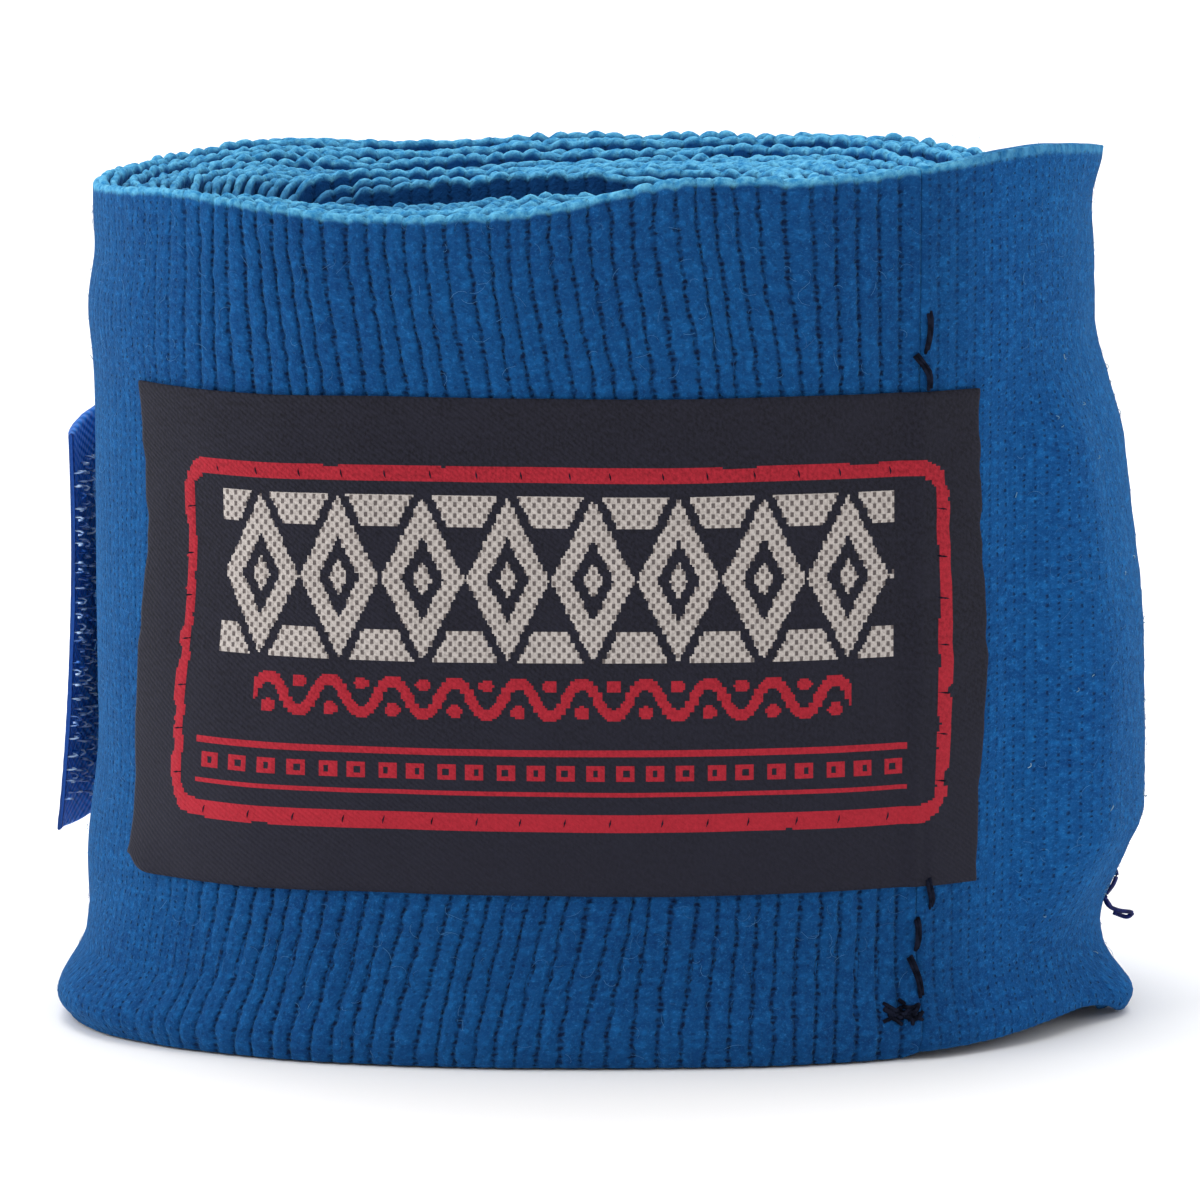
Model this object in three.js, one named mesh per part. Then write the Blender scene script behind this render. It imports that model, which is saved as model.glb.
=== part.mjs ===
// A boxing hand wrap, rolled up and standing on its edge.
//
// One long strip of ribbed elastic cotton is wound round its own thumb loop into an oval roll. The
// outer end is folded double and sewn (the end hem), a woven label is sewn over the front, and a
// 25 mm hook tape runs from under the hem, across the back, over a loop patch, to a free tip that
// curls round the left end. Millimetres, +Z up, the roll's front face towards -Y.
//
// The end of the wrap peels open in three stretches, each in a group of its own that pivots about a
// vertical line: the end flap, the hook strap, and the strap's tip.

import * as THREE from "three";

// ---- Driving dimensions ----------------------------------------------------------------------

// Cloth
const WRAP_WIDTH = 50; // the roll's height
const CLOTH = 0.42; // one layer, under winding tension
const LAYER_GAP = 0.3; // between one turn and the next
const TURNS = 22;

// Oval section: every turn is a parallel curve of a flat core ellipse
const CORE_X = 12.8; // half length of the core ellipse
const CORE_Y = 2.2; // half depth of the core ellipse
const OUTER_OFFSET = 16.4; // inner face of the strip where it ends, measured from the core ellipse
const CORE_SHIFT = { x: -3, y: -2.4 }; // the core sits left of and in front of the roll's middle
const STATIONS_PER_TURN = 40;

// Where things lie along the last turn, as X on the front face or on the back
const SEAM_X = 19.0;
const FLAP_HINGE_X = 23.4;
const HEM_FOLD_X = 20.8;
const STRAP_HINGE_X = 19.2;
const TIP_HINGE_X = -24.5;
const PATCH_RIGHT_X = 18.2;
const PATCH_LEFT_X = -23.6;

// Angles of the outward normal, in degrees: 180 left, 270 front, 360 right, 450 back, 540 left
const RISE = { from: 255, to: 305, bottom: 0.3, top: 2.1 }; // the last stretch is wider and higher
const TAPE_ROOT_FROM = 338;
const TIP_END = 533;

// Label
const LABEL = { left: -25.8, right: 22.6, bottom: 10.1, top: 39.3, thickness: 0.35 };
const LABEL_SEAM = { left: -23.4, right: 20.4, bottom: 14.4, top: 35.0 };

// Hook-and-loop tape
const TAPE = { bottom: 10, top: 35, ground: 0.6, hooks: 0.55, selvedge: 1.9 };
const TAPE_LIFT = 1.9; // from the roll's surface to the inner face of the tape's ground
const ROOT_LIFT = 2.6; // the stiff tape stands further off round the right end
const PATCH = { ground: 0.4, pile: 0.5 };
const FINE_GAP = 0.1; // between two textile faces that lie on each other
const SKIN_GAP = 0.15; // between the roll and what is sewn to it
const HINGE_SLIT = 0.35; // cloth or tape left out where one stretch pivots on the next

// Sewing threads
const THREAD_RADIUS = 0.17;
const THREAD_SIDES = 5;
const THREAD_GAP = 0.08;
const HOLLOW_GAP = 0.2; // on the hollow side of a bend

// Thumb loop, flattened inside the core
const LOOP = { length: 23, tape: 0.8, slot: 0.7, bottom: 19.5, top: 30.5 };

// ---- Materials -------------------------------------------------------------------------------

const fabric = (name, color, roughness = 0.9) =>
  new THREE.MeshStandardMaterial({ name, color, roughness, metalness: 0 });

const clothBlue = () => fabric("cotton_cloth", 0x1c5a9c, 0.95);
const labelBlack = () => fabric("label_satin", 0x2d2d3a, 0.6);
const tapeBlue = () => fabric("hook_and_loop_tape", 0x0a3c96, 0.7);
const threadBlack = () => fabric("black_thread", 0x14141c, 0.7);
const threadNavy = () => fabric("navy_thread", 0x16234e, 0.7);

// ---- The oval and its spiral -----------------------------------------------------------------

const DEGREE = Math.PI / 180;

/** The point whose outward normal points at `angle` degrees, `offset` outside the core ellipse. */
function ovalPoint(angle, offset) {
  const c = Math.cos(angle * DEGREE);
  const s = Math.sin(angle * DEGREE);
  const k = Math.hypot(CORE_X * c, CORE_Y * s);
  return new THREE.Vector2(c * (CORE_X ** 2 / k + offset), s * (CORE_Y ** 2 / k + offset));
}

/** Angles that cut one lap of the outer oval into equal lengths. */
function evenAngles(count) {
  const fine = 3600;
  const reached = [0];
  for (let i = 0; i < fine; i += 1) {
    const a = ovalPoint((i * 360) / fine, OUTER_OFFSET);
    const b = ovalPoint(((i + 1) * 360) / fine, OUTER_OFFSET);
    reached.push(reached[i] + a.distanceTo(b));
  }
  const lap = reached[fine];
  const angles = [];
  for (let i = 0, k = 0; k < count; i += 1) {
    if (reached[i] >= (k * lap) / count - 1e-9) {
      angles.push((i * 360) / fine);
      k += 1;
    }
  }
  return angles;
}

const LAP_ANGLES = evenAngles(STATIONS_PER_TURN);

/** Every even angle between two ends, and the ends themselves. */
function stations(from, to) {
  const list = [from];
  for (let lap = Math.floor(from / 360); lap <= Math.floor(to / 360); lap += 1) {
    for (const angle of LAP_ANGLES) {
      const a = angle + lap * 360;
      if (a > from + 0.8 && a < to - 0.8) list.push(a);
    }
  }
  list.push(to);
  return list;
}

/** The angle between `low` and `high` where the outer oval has the given X. */
function angleAtX(x, low, high) {
  const rising = ovalPoint(high, OUTER_OFFSET).x > ovalPoint(low, OUTER_OFFSET).x;
  let [a, b] = [low, high];
  for (let i = 0; i < 50; i += 1) {
    const middle = (a + b) / 2;
    if (ovalPoint(middle, OUTER_OFFSET).x < x === rising) a = middle;
    else b = middle;
  }
  return (a + b) / 2;
}

/** The angle that a short length along the outer oval spans. */
function anglePer(length, angle) {
  const step = 0.1;
  const here = ovalPoint(angle, OUTER_OFFSET);
  return (length * step) / here.distanceTo(ovalPoint(angle + step, OUTER_OFFSET));
}

const onFront = (x) => angleAtX(x, 180, 360);
const onBack = (x) => angleAtX(x, 360, 540);

const PITCH = CLOTH + LAYER_GAP;
const STRIP_END = onFront(FLAP_HINGE_X);
const STRIP_START = STRIP_END - TURNS * 360;
const SEAM_ANGLE = onFront(SEAM_X);
const HEM_START = STRIP_END + anglePer(HINGE_SLIT, STRIP_END);
const HEM_FOLD = onBack(HEM_FOLD_X);
const STRAP_START = onBack(STRAP_HINGE_X);
const TIP_START = onBack(TIP_HINGE_X);

const smooth = (value, from, to) => THREE.MathUtils.smoothstep(value, from, to);

const stripInner = (angle) => OUTER_OFFSET + (PITCH * (angle - STRIP_END)) / 360;
const doubled = (angle) => 1 + smooth(angle, SEAM_ANGLE - 4, SEAM_ANGLE);
const stripOuter = (angle) => stripInner(angle) + CLOTH * doubled(angle);
const rollSurface = (angle) => stripInner(angle - 360) + CLOTH;
const bottomEdge = (angle) => RISE.bottom * smooth(angle, RISE.from, RISE.to);
const topEdge = (angle) => WRAP_WIDTH + RISE.top * smooth(angle, RISE.from, RISE.to);

/** The inner face of the hook tape's ground, along the lap outside the roll. */
function tapeInner(angle) {
  const lift = ROOT_LIFT + (TAPE_LIFT - ROOT_LIFT) * smooth(angle, 375, 430);
  return rollSurface(angle) + lift;
}

/** The hem lies on the roll, and swells where the tape is under it. */
function hemInner(angle, z) {
  const flat = stripInner(angle);
  const overTape = tapeInner(angle) + TAPE.ground + SKIN_GAP;
  const across = smooth(z, TAPE.bottom - 6, TAPE.bottom) * (1 - smooth(z, TAPE.top + 1, TAPE.top + 7));
  const along = smooth(angle, HEM_START, TAPE_ROOT_FROM - 4);
  return flat + (overTape - flat) * across * along;
}

// ---- Shapes ----------------------------------------------------------------------------------

/** The same point for a turn of the strip, whose inner turns sit round the shifted core. */
function spiralPoint(angle, offset) {
  const inward = Math.max(0, 1 - offset / (OUTER_OFFSET - PITCH - CLOTH));
  const point = ovalPoint(angle, offset);
  return point.set(point.x + CORE_SHIFT.x * inward, point.y + CORE_SHIFT.y * inward);
}

/** A box bent round the oval: X becomes the offset, Y the angle and Z the height. */
function band({ from, to, inner, outer, bottom, top, rows = 1, place = ovalPoint }) {
  const angles = stations(from, to);
  const steps = angles.length - 1;
  const geometry = new THREE.BoxGeometry(1, 1, 1, 1, steps, rows);
  const position = geometry.getAttribute("position");
  for (let i = 0; i < position.count; i += 1) {
    const angle = angles[Math.round((position.getY(i) + 0.5) * steps)];
    const z = THREE.MathUtils.lerp(bottom(angle), top(angle), position.getZ(i) + 0.5);
    const offset = position.getX(i) < 0 ? inner(angle, z) : outer(angle, z);
    const point = place(angle, offset);
    position.setXYZ(i, point.x, point.y, z);
  }
  geometry.deleteAttribute("uv");
  geometry.computeVertexNormals();
  return geometry;
}

/** A band between two fixed heights, `depth` thick, whose inner face is at `inner`. */
function tapeBand(from, to, inner, depth, bottom, top) {
  return band({
    from,
    to,
    inner,
    outer: (angle, z) => inner(angle, z) + depth,
    bottom: () => bottom,
    top: () => top,
  });
}

/** A thread of round section along a smooth line through the points. */
function threadThrough(points, steps, radius) {
  const section = new THREE.Shape();
  for (let i = 0; i < THREAD_SIDES; i += 1) {
    const a = (i * 2 * Math.PI) / THREAD_SIDES;
    if (i === 0) section.moveTo(radius, 0);
    else section.lineTo(radius * Math.cos(a), radius * Math.sin(a));
  }
  section.closePath();
  return new THREE.ExtrudeGeometry(section, {
    steps,
    bevelEnabled: false,
    extrudePath: new THREE.CatmullRomCurve3(points, false, "centripetal"),
  });
}

/** A thread on the roll, through points of the form [angle, offset, z]. */
function thread(route, steps, radius = THREAD_RADIUS) {
  const points = route.map(([angle, offset, z]) => {
    const p = ovalPoint(angle, offset);
    return new THREE.Vector3(p.x, p.y, z);
  });
  return threadThrough(points, steps, radius);
}

/** A line of stitches round a rectangle on the roll, open at one corner where it starts and ends. */
function rectangleSeam({ from, to, bottom, top, offset, rows, steps }) {
  const angles = stations(from, to);
  const route = [];
  for (const angle of angles) route.push([angle, offset(angle), bottom]);
  for (let i = 1; i < rows; i += 1) {
    route.push([to, offset(to), THREE.MathUtils.lerp(bottom, top, i / rows)]);
  }
  for (const angle of [...angles].reverse()) route.push([angle, offset(angle), top]);
  for (let i = 1; i < rows; i += 1) {
    route.push([from, offset(from), THREE.MathUtils.lerp(top, bottom, i / rows)]);
  }
  return thread(route, steps);
}

// ---- Groups ----------------------------------------------------------------------------------

/** A group whose origin is its pivot: a vertical line on the outer face at `angle`. */
function pivotGroup(parent, angle, offset) {
  const point = ovalPoint(angle, offset);
  const group = new THREE.Group();
  group.userData.pivot = new THREE.Vector3(point.x, point.y, 0);
  group.position.copy(group.userData.pivot).sub(parent.userData.pivot);
  parent.add(group);
  return group;
}

/** Adds a named piece whose geometry is given in the roll's own coordinates. */
function addPiece(group, name, geometry, material) {
  const { x, y } = group.userData.pivot;
  const mesh = new THREE.Mesh(geometry.translate(-x, -y, 0), material);
  mesh.name = name;
  group.add(mesh);
}

const roll = new THREE.Group();
roll.name = "roll";
roll.userData.pivot = new THREE.Vector3();

const hemOuter = (angle, z) => hemInner(angle, z) + 2 * CLOTH;
const endFlap = pivotGroup(roll, (STRIP_END + HEM_START) / 2, stripOuter(STRIP_END));
endFlap.name = "end_flap";

const hookStrap = pivotGroup(endFlap, STRAP_START, tapeInner(STRAP_START) + TAPE.ground);
hookStrap.name = "hook_strap";

const strapTip = pivotGroup(hookStrap, TIP_START, tapeInner(TIP_START) + TAPE.ground);
strapTip.name = "strap_tip";

// ---- The roll: cloth, label, loop patch and thumb loop ---------------------------------------

function wrapStrip() {
  return band({
    from: STRIP_START,
    to: STRIP_END,
    inner: stripInner,
    outer: stripOuter,
    bottom: bottomEdge,
    top: topEdge,
    place: spiralPoint,
  });
}

const labelInner = (angle) => stripOuter(angle) + SKIN_GAP;
const labelOuter = (angle) => labelInner(angle) + LABEL.thickness;

function labelStitching() {
  return rectangleSeam({
    from: onFront(LABEL_SEAM.left),
    to: onFront(LABEL_SEAM.right),
    bottom: LABEL_SEAM.bottom,
    top: LABEL_SEAM.top,
    offset: (angle) => labelOuter(angle) + THREAD_GAP + THREAD_RADIUS,
    rows: 6,
    steps: 100,
  });
}

/** The black seam that holds the hem down: up the front at one X, over the label, back-tacked. */
function endSeam() {
  const angle = SEAM_ANGLE + 0.4;
  const onCloth = stripOuter(angle) + THREAD_GAP + THREAD_RADIUS;
  const overLabel = labelOuter(angle) + 3 * THREAD_GAP + 3 * THREAD_RADIUS;
  return thread(
    [
      [angle - 1.6, onCloth, 2.4],
      [angle - 1.0, onCloth, 3.4],
      [angle, onCloth, 3.0],
      [angle + 0.1, onCloth, 5.6],
      [angle, onCloth, 8.4],
      [angle, overLabel, 10.4],
      [angle, overLabel, 18],
      [angle, overLabel, 25],
      [angle, overLabel, 32],
      [angle, overLabel, 39],
      [angle, onCloth, 41],
      [angle + 0.15, onCloth, 42.2],
      [angle, onCloth, 43.4],
    ],
    45,
  );
}

const patchInner = (angle) => rollSurface(angle) + SKIN_GAP;
const pileInner = (angle) => patchInner(angle) + PATCH.ground + FINE_GAP;

function patchStitching() {
  return rectangleSeam({
    from: onBack(PATCH_RIGHT_X) + 1,
    to: onBack(PATCH_LEFT_X) - 1.5,
    bottom: TAPE.bottom + TAPE.selvedge / 2,
    top: TAPE.top - TAPE.selvedge / 2,
    offset: (angle) => patchInner(angle) + PATCH.ground + THREAD_GAP + THREAD_RADIUS,
    rows: 5,
    steps: 70,
  });
}

/** The thumb loop lies flat in the core: a long slot ring, standing as high as its tape is wide. */
function thumbLoop() {
  const depth = 2 * LOOP.tape + LOOP.slot;
  const outline = stadium(new THREE.Shape(), LOOP.length, depth);
  outline.holes.push(stadium(new THREE.Path(), LOOP.length - 2 * LOOP.tape, LOOP.slot));
  return new THREE.ExtrudeGeometry(outline, {
    depth: LOOP.top - LOOP.bottom,
    bevelEnabled: false,
    curveSegments: 8,
  }).translate(CORE_SHIFT.x, CORE_SHIFT.y, LOOP.bottom);
}

/** A stadium outline, centred, `length` along X and `depth` along Y. */
function stadium(path, length, depth) {
  const half = (length - depth) / 2;
  const radius = depth / 2;
  path.moveTo(-half, -radius);
  path.lineTo(half, -radius);
  path.absarc(half, 0, radius, -Math.PI / 2, Math.PI / 2, false);
  path.lineTo(-half, radius);
  path.absarc(-half, 0, radius, Math.PI / 2, (3 * Math.PI) / 2, false);
  return path;
}

/** A box of stitches between the thumb loop and the strip's inner end. */
function thumbLoopStitching() {
  const y = CORE_SHIFT.y - (LOOP.slot / 2 + LOOP.tape) - THREAD_GAP - THREAD_RADIUS;
  const [left, right] = [CORE_SHIFT.x + 1, CORE_SHIFT.x + 6.5];
  const [low, high] = [LOOP.bottom + 1.5, LOOP.top - 1.5];
  const corners = [
    [left, low],
    [right, low],
    [right, high],
    [left, high],
    [left, low + 1],
  ];
  const side = (i) => new THREE.Vector3(corners[i][0], y, corners[i][1]);
  const points = [];
  for (let i = 0; i + 1 < corners.length; i += 1) {
    for (const share of [0.05, 0.5, 0.95]) points.push(side(i).lerp(side(i + 1), share));
  }
  return threadThrough(points, 40, THREAD_RADIUS);
}

addPiece(roll, "wrap_strip", wrapStrip(), clothBlue());
addPiece(roll, "thumb_loop", thumbLoop(), clothBlue());
addPiece(roll, "thumb_loop_stitching", thumbLoopStitching(), threadNavy());
addPiece(
  roll,
  "label",
  tapeBand(
    onFront(LABEL.left),
    onFront(LABEL.right),
    labelInner,
    LABEL.thickness,
    LABEL.bottom,
    LABEL.top,
  ),
  labelBlack(),
);
addPiece(roll, "label_stitching", labelStitching(), threadBlack());
addPiece(roll, "end_seam_stitching", endSeam(), threadBlack());
addPiece(
  roll,
  "loop_patch",
  tapeBand(
    onBack(PATCH_RIGHT_X),
    onBack(PATCH_LEFT_X),
    patchInner,
    PATCH.ground,
    TAPE.bottom,
    TAPE.top,
  ),
  tapeBlue(),
);
addPiece(
  roll,
  "loop_pile",
  tapeBand(
    onBack(PATCH_RIGHT_X) + 2,
    onBack(PATCH_LEFT_X) - 3,
    pileInner,
    PATCH.pile,
    TAPE.bottom + TAPE.selvedge,
    TAPE.top - TAPE.selvedge,
  ),
  tapeBlue(),
);
addPiece(roll, "loop_patch_stitching", patchStitching(), threadNavy());

// ---- The end flap: folded hem, the root of the hook tape, and its thread -----------------------

addPiece(
  endFlap,
  "end_hem",
  band({
    from: HEM_START,
    to: HEM_FOLD,
    inner: hemInner,
    outer: hemOuter,
    bottom: bottomEdge,
    top: topEdge,
    rows: 16,
  }),
  clothBlue(),
);

/** A length of hook tape: its woven ground, and the strip of hooks on its inner face. */
function addHookTape(group, suffix, from, to) {
  const hooksInner = (angle) => tapeInner(angle) - FINE_GAP - TAPE.hooks;
  const low = TAPE.bottom + TAPE.selvedge;
  const high = TAPE.top - TAPE.selvedge;
  const ground = tapeBand(from, to, tapeInner, TAPE.ground, TAPE.bottom, TAPE.top);
  const hooks = tapeBand(from, to, hooksInner, TAPE.hooks, low, high);
  addPiece(group, "hook_tape_" + suffix, ground, tapeBlue());
  addPiece(group, "hooks_" + suffix, hooks, tapeBlue());
}

addHookTape(endFlap, "root", TAPE_ROOT_FROM, STRAP_START - anglePer(HINGE_SLIT, STRAP_START));

/** Navy stitches that hold the tape to the hem, on the tape's inner face along its selvedges. */
function hookTapeStitching() {
  return rectangleSeam({
    from: TAPE_ROOT_FROM + 1.5,
    to: HEM_FOLD - 1.5,
    bottom: TAPE.bottom + TAPE.selvedge / 2,
    top: TAPE.top - TAPE.selvedge / 2,
    offset: (angle) => {
      const clearOfHooks = FINE_GAP + TAPE.hooks;
      const crossing = angle < TAPE_ROOT_FROM + 3 || angle > HEM_FOLD - 3 ? clearOfHooks : 0;
      return tapeInner(angle) - crossing - HOLLOW_GAP - THREAD_RADIUS;
    },
    rows: 5,
    steps: 70,
  });
}

/** The loose end of the tape's thread hangs out under the hem's swelling at the right end. */
function looseThread() {
  const out = (angle, z) => hemOuter(angle, z) + THREAD_GAP + THREAD_RADIUS;
  return thread(
    [
      [356, out(356, 8.6) + 0.1, 8.4],
      [358, out(358, 8) + 0.5, 7.9],
      [360, out(360, 7) + 0.25, 7.0],
      [361, out(361, 6) + 0.2, 6.2],
      [360, out(360, 6) + 0.9, 5.9],
      [359, out(359, 6) + 1.7, 5.4],
    ],
    20,
    0.14,
  );
}

addPiece(endFlap, "hook_tape_stitching", hookTapeStitching(), threadNavy());
addPiece(endFlap, "loose_thread_end", looseThread(), threadNavy());

// ---- The hook strap across the back, and its free tip ------------------------------------------

addHookTape(hookStrap, "back", STRAP_START, TIP_START - anglePer(HINGE_SLIT, TIP_START));
addHookTape(strapTip, "tip", TIP_START, TIP_END);

// ---- The part's own frame: the middle of its base ----------------------------------------------

const wrap = new THREE.Group();
wrap.name = "hand_wrap";
wrap.add(roll);
const box = new THREE.Box3().setFromObject(roll, true);
const middle = box.getCenter(new THREE.Vector3());
roll.position.set(-middle.x, -middle.y, -box.min.z);

export default wrap;
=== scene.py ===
"""Looks of the rolled-up hand wrap. Formulas are in millimetres and degrees, the scene is in metres."""

import functools
import math

import bpy
import numpy as np
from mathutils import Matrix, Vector


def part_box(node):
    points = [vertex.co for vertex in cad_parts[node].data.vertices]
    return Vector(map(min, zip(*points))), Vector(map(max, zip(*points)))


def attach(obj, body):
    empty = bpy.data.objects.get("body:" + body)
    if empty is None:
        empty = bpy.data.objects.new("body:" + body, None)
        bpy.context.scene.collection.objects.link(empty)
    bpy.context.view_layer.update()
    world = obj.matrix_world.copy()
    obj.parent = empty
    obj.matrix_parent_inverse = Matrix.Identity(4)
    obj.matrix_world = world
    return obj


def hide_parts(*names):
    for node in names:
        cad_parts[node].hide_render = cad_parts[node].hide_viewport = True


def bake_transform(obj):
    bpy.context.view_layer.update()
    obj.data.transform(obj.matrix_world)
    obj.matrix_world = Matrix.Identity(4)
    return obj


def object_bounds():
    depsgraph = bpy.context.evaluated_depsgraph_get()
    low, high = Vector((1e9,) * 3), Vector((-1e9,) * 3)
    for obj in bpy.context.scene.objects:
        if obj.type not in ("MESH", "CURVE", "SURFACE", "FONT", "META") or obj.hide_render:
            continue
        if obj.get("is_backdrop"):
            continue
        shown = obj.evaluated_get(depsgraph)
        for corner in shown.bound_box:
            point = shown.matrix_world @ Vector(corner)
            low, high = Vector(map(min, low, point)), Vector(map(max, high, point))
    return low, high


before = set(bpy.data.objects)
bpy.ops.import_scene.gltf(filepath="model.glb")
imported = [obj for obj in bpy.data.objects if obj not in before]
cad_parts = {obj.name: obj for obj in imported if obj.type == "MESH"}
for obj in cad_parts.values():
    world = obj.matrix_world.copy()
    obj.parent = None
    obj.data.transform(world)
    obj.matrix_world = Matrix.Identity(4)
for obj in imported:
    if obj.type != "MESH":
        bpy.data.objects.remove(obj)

CAD_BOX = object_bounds()
MM = 0.001

# ---- Winding of the cloth, as in the CAD ------------------------------------------------------

CORE_X = 12.8  # half axes of the ellipse that the first turn lies round
CORE_Y = 2.2
OUTER_OFFSET = 16.4  # inner face of the strip where it ends, outside that ellipse
CORE_SHIFT = np.array([-3.0, -2.4])  # the core sits left of and in front of the middle
CLOTH = 0.42
PITCH = 0.72
TURNS = 22
HEIGHT = 50.0

# X values measured from the middle of the oval
FLAP_HINGE_X = 23.4
SEAM_X = 19.0
HEM_FOLD_X = 20.8
STRAP_HINGE_X = 19.2
TIP_HINGE_X = -24.5
PATCH_X = (-23.6, 18.2)
LABEL_X = (-25.55, 22.0)

# Angles of the outward normal: 180 left, 270 front, 360 right, 450 back, 540 left again
TAPE_ROOT_FROM = 338.0
TIP_END = 533.0

# Heights of the bottom and top edges
LABEL_Z = (10.0, 38.8)
TAPE_Z = (10.0, 35.0)

# Thickness and height of the tape's and the patch's layers, outwards from the roll
TAPE_GROUND = 0.6
HOOK_HEIGHT = 0.55
TAPE_LIFT = 1.9  # tape above the roll at the back, where the pile is between them
ROOT_LIFT = 2.6  # and at the right side
PATCH_GROUND = 0.4
PILE_HEIGHT = 0.5
PILE_LOOPS = 4200

KNIT = 0.46  # thickness of the outermost cloth as it is drawn
SEAM_THREAD = 0.12  # radii of threads, fibres and flecks
STITCH_RADIUS = 0.09
HAIR = 0.012
FLECK = 0.03

# The CAD's oval is drawn round its own middle, which the thumb loop's box gives back
LOOP_BOX = np.array(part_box("thumb_loop")) / MM
OVAL_CENTRE = LOOP_BOX.mean(axis=0)[:2] - CORE_SHIFT

RIB_PITCH = 1.15
END_RISE = 0.35  # of the bottom edge at the seam
SEAM_DIP = 0.06  # how far the thread pulls the cloth in along the end's seam


def smooth(value, low, high):
    """0 below `low`, 1 above `high`, and a smooth step between them."""
    t = np.clip((np.asarray(value, float) - low) / (high - low), 0, 1)
    return t * t * (3 - 2 * t)


def through(value, knots):
    """A smooth curve through (position, height) pairs."""
    at, height = np.array(knots, float).T
    slope = np.gradient(height, at)
    value = np.clip(value, at[0], at[-1])
    i = np.clip(np.searchsorted(at, value, side="right") - 1, 0, len(at) - 2)
    span = at[i + 1] - at[i]
    t = (value - at[i]) / span
    blend = t * t * (3 - 2 * t)
    bends = span * t * (1 - t) * (slope[i] * (1 - t) - slope[i + 1] * t)
    return height[i] * (1 - blend) + height[i + 1] * blend + bends


def bell(value, middle, width):
    return np.exp(-(((np.asarray(value, float) - middle) / width) ** 2))


def together(*coordinates):
    """Coordinates of any matching shapes as one array, the last axis over x, y and z or u and v."""
    return np.stack(np.broadcast_arrays(*coordinates), axis=-1)


@functools.cache
def random_heights(seed, *shape):
    return np.random.default_rng(seed).uniform(-1, 1, shape)


def wander(value, pitch, seed):
    """Smooth seeded noise from -1 to 1 with one new height every `pitch`."""
    heights = random_heights(seed, 4096)
    place = np.asarray(value, float) / pitch + 2048
    low = np.floor(place).astype(int)
    t = smooth(place - low, 0, 1)
    return heights[low % 4096] * (1 - t) + heights[(low + 1) % 4096] * t


def wander2(x, y, pitch_x, pitch_y, seed):
    """The same over a plane."""
    heights = random_heights(seed, 1024, 256)
    px = np.asarray(x, float) / pitch_x + 512
    py = np.asarray(y, float) / pitch_y + 64
    ix, iy = np.floor(px).astype(int), np.floor(py).astype(int)
    tx, ty = smooth(px - ix, 0, 1), smooth(py - iy, 0, 1)
    corner = lambda dx, dy: heights[(ix + dx) % 1024, (iy + dy) % 256]
    near = corner(0, 0) * (1 - tx) + corner(1, 0) * tx
    far = corner(0, 1) * (1 - tx) + corner(1, 1) * tx
    return near * (1 - ty) + far * ty


def oval(angle, offset):
    """Where the outward normal points at `angle`, `offset` outside the core ellipse."""
    c, s = np.cos(np.radians(angle)), np.sin(np.radians(angle))
    k = np.hypot(CORE_X * c, CORE_Y * s)
    inward = np.maximum(0, 1 - offset / (OUTER_OFFSET - PITCH - CLOTH))
    x = c * (CORE_X**2 / k + offset) + CORE_SHIFT[0] * inward + OVAL_CENTRE[0]
    y = s * (CORE_Y**2 / k + offset) + CORE_SHIFT[1] * inward + OVAL_CENTRE[1]
    return x, y


def angle_at_x(x, low, high):
    angles = np.linspace(low, high, 2000)
    along = oval(angles, OUTER_OFFSET)[0] - OVAL_CENTRE[0]
    order = np.argsort(along)
    return float(np.interp(x, along[order], angles[order]))


def on_front(x):
    return angle_at_x(x, 180, 360)


def on_back(x):
    return angle_at_x(x, 360, 540)


STRIP_END = on_front(FLAP_HINGE_X)
STRIP_START = STRIP_END - TURNS * 360
SEAM = on_front(SEAM_X)
HEM_FOLD = on_back(HEM_FOLD_X)
STRAP_START = on_back(STRAP_HINGE_X)
TIP_START = on_back(TIP_HINGE_X)


def strip_inner(angle):
    return OUTER_OFFSET + PITCH * (angle - STRIP_END) / 360


def strip_outer(angle):
    return strip_inner(angle) + CLOTH * (1 + smooth(angle, SEAM - 4, SEAM))


def roll_surface(angle):
    return strip_inner(angle - 360) + CLOTH


def tape_inner(angle):
    return roll_surface(angle) + ROOT_LIFT + (TAPE_LIFT - ROOT_LIFT) * smooth(angle, 375, 430)


def tape_sag(angle, z):
    """Under the hem the tape's upper half and its bottom edge lean in towards the roll."""
    beside = smooth(angle, 318, 338) * (1 - smooth(angle, 388, 424))
    return (1.6 * smooth(z, 20, 38) + 0.6 * (1 - smooth(z, 9.5, 12))) * beside


def hem_inner(angle, z):
    flat = strip_inner(angle)
    over_tape = tape_inner(angle) + TAPE_GROUND + 0.15 - tape_sag(angle, z)
    across = smooth(z, 4.4, 11) * (1 - smooth(z, 33.5, 41))
    return flat + (over_tape - flat) * across * smooth(angle, STRIP_END, TAPE_ROOT_FROM - 4)


ARC_ANGLES = np.arange(STRIP_START, TIP_END + 30, 0.5)
ARC_POINTS = np.stack(oval(ARC_ANGLES, strip_inner(ARC_ANGLES)), axis=1)
ARC_LENGTHS = np.concatenate([[0], np.cumsum(np.linalg.norm(np.diff(ARC_POINTS, axis=0), axis=1))])


def length_at(angle):
    """Length of cloth from its inner end."""
    return np.interp(angle, ARC_ANGLES, ARC_LENGTHS)


def angle_at(length):
    return np.interp(length, ARC_LENGTHS, ARC_ANGLES)


# ---- Meshes -----------------------------------------------------------------------------------


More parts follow.
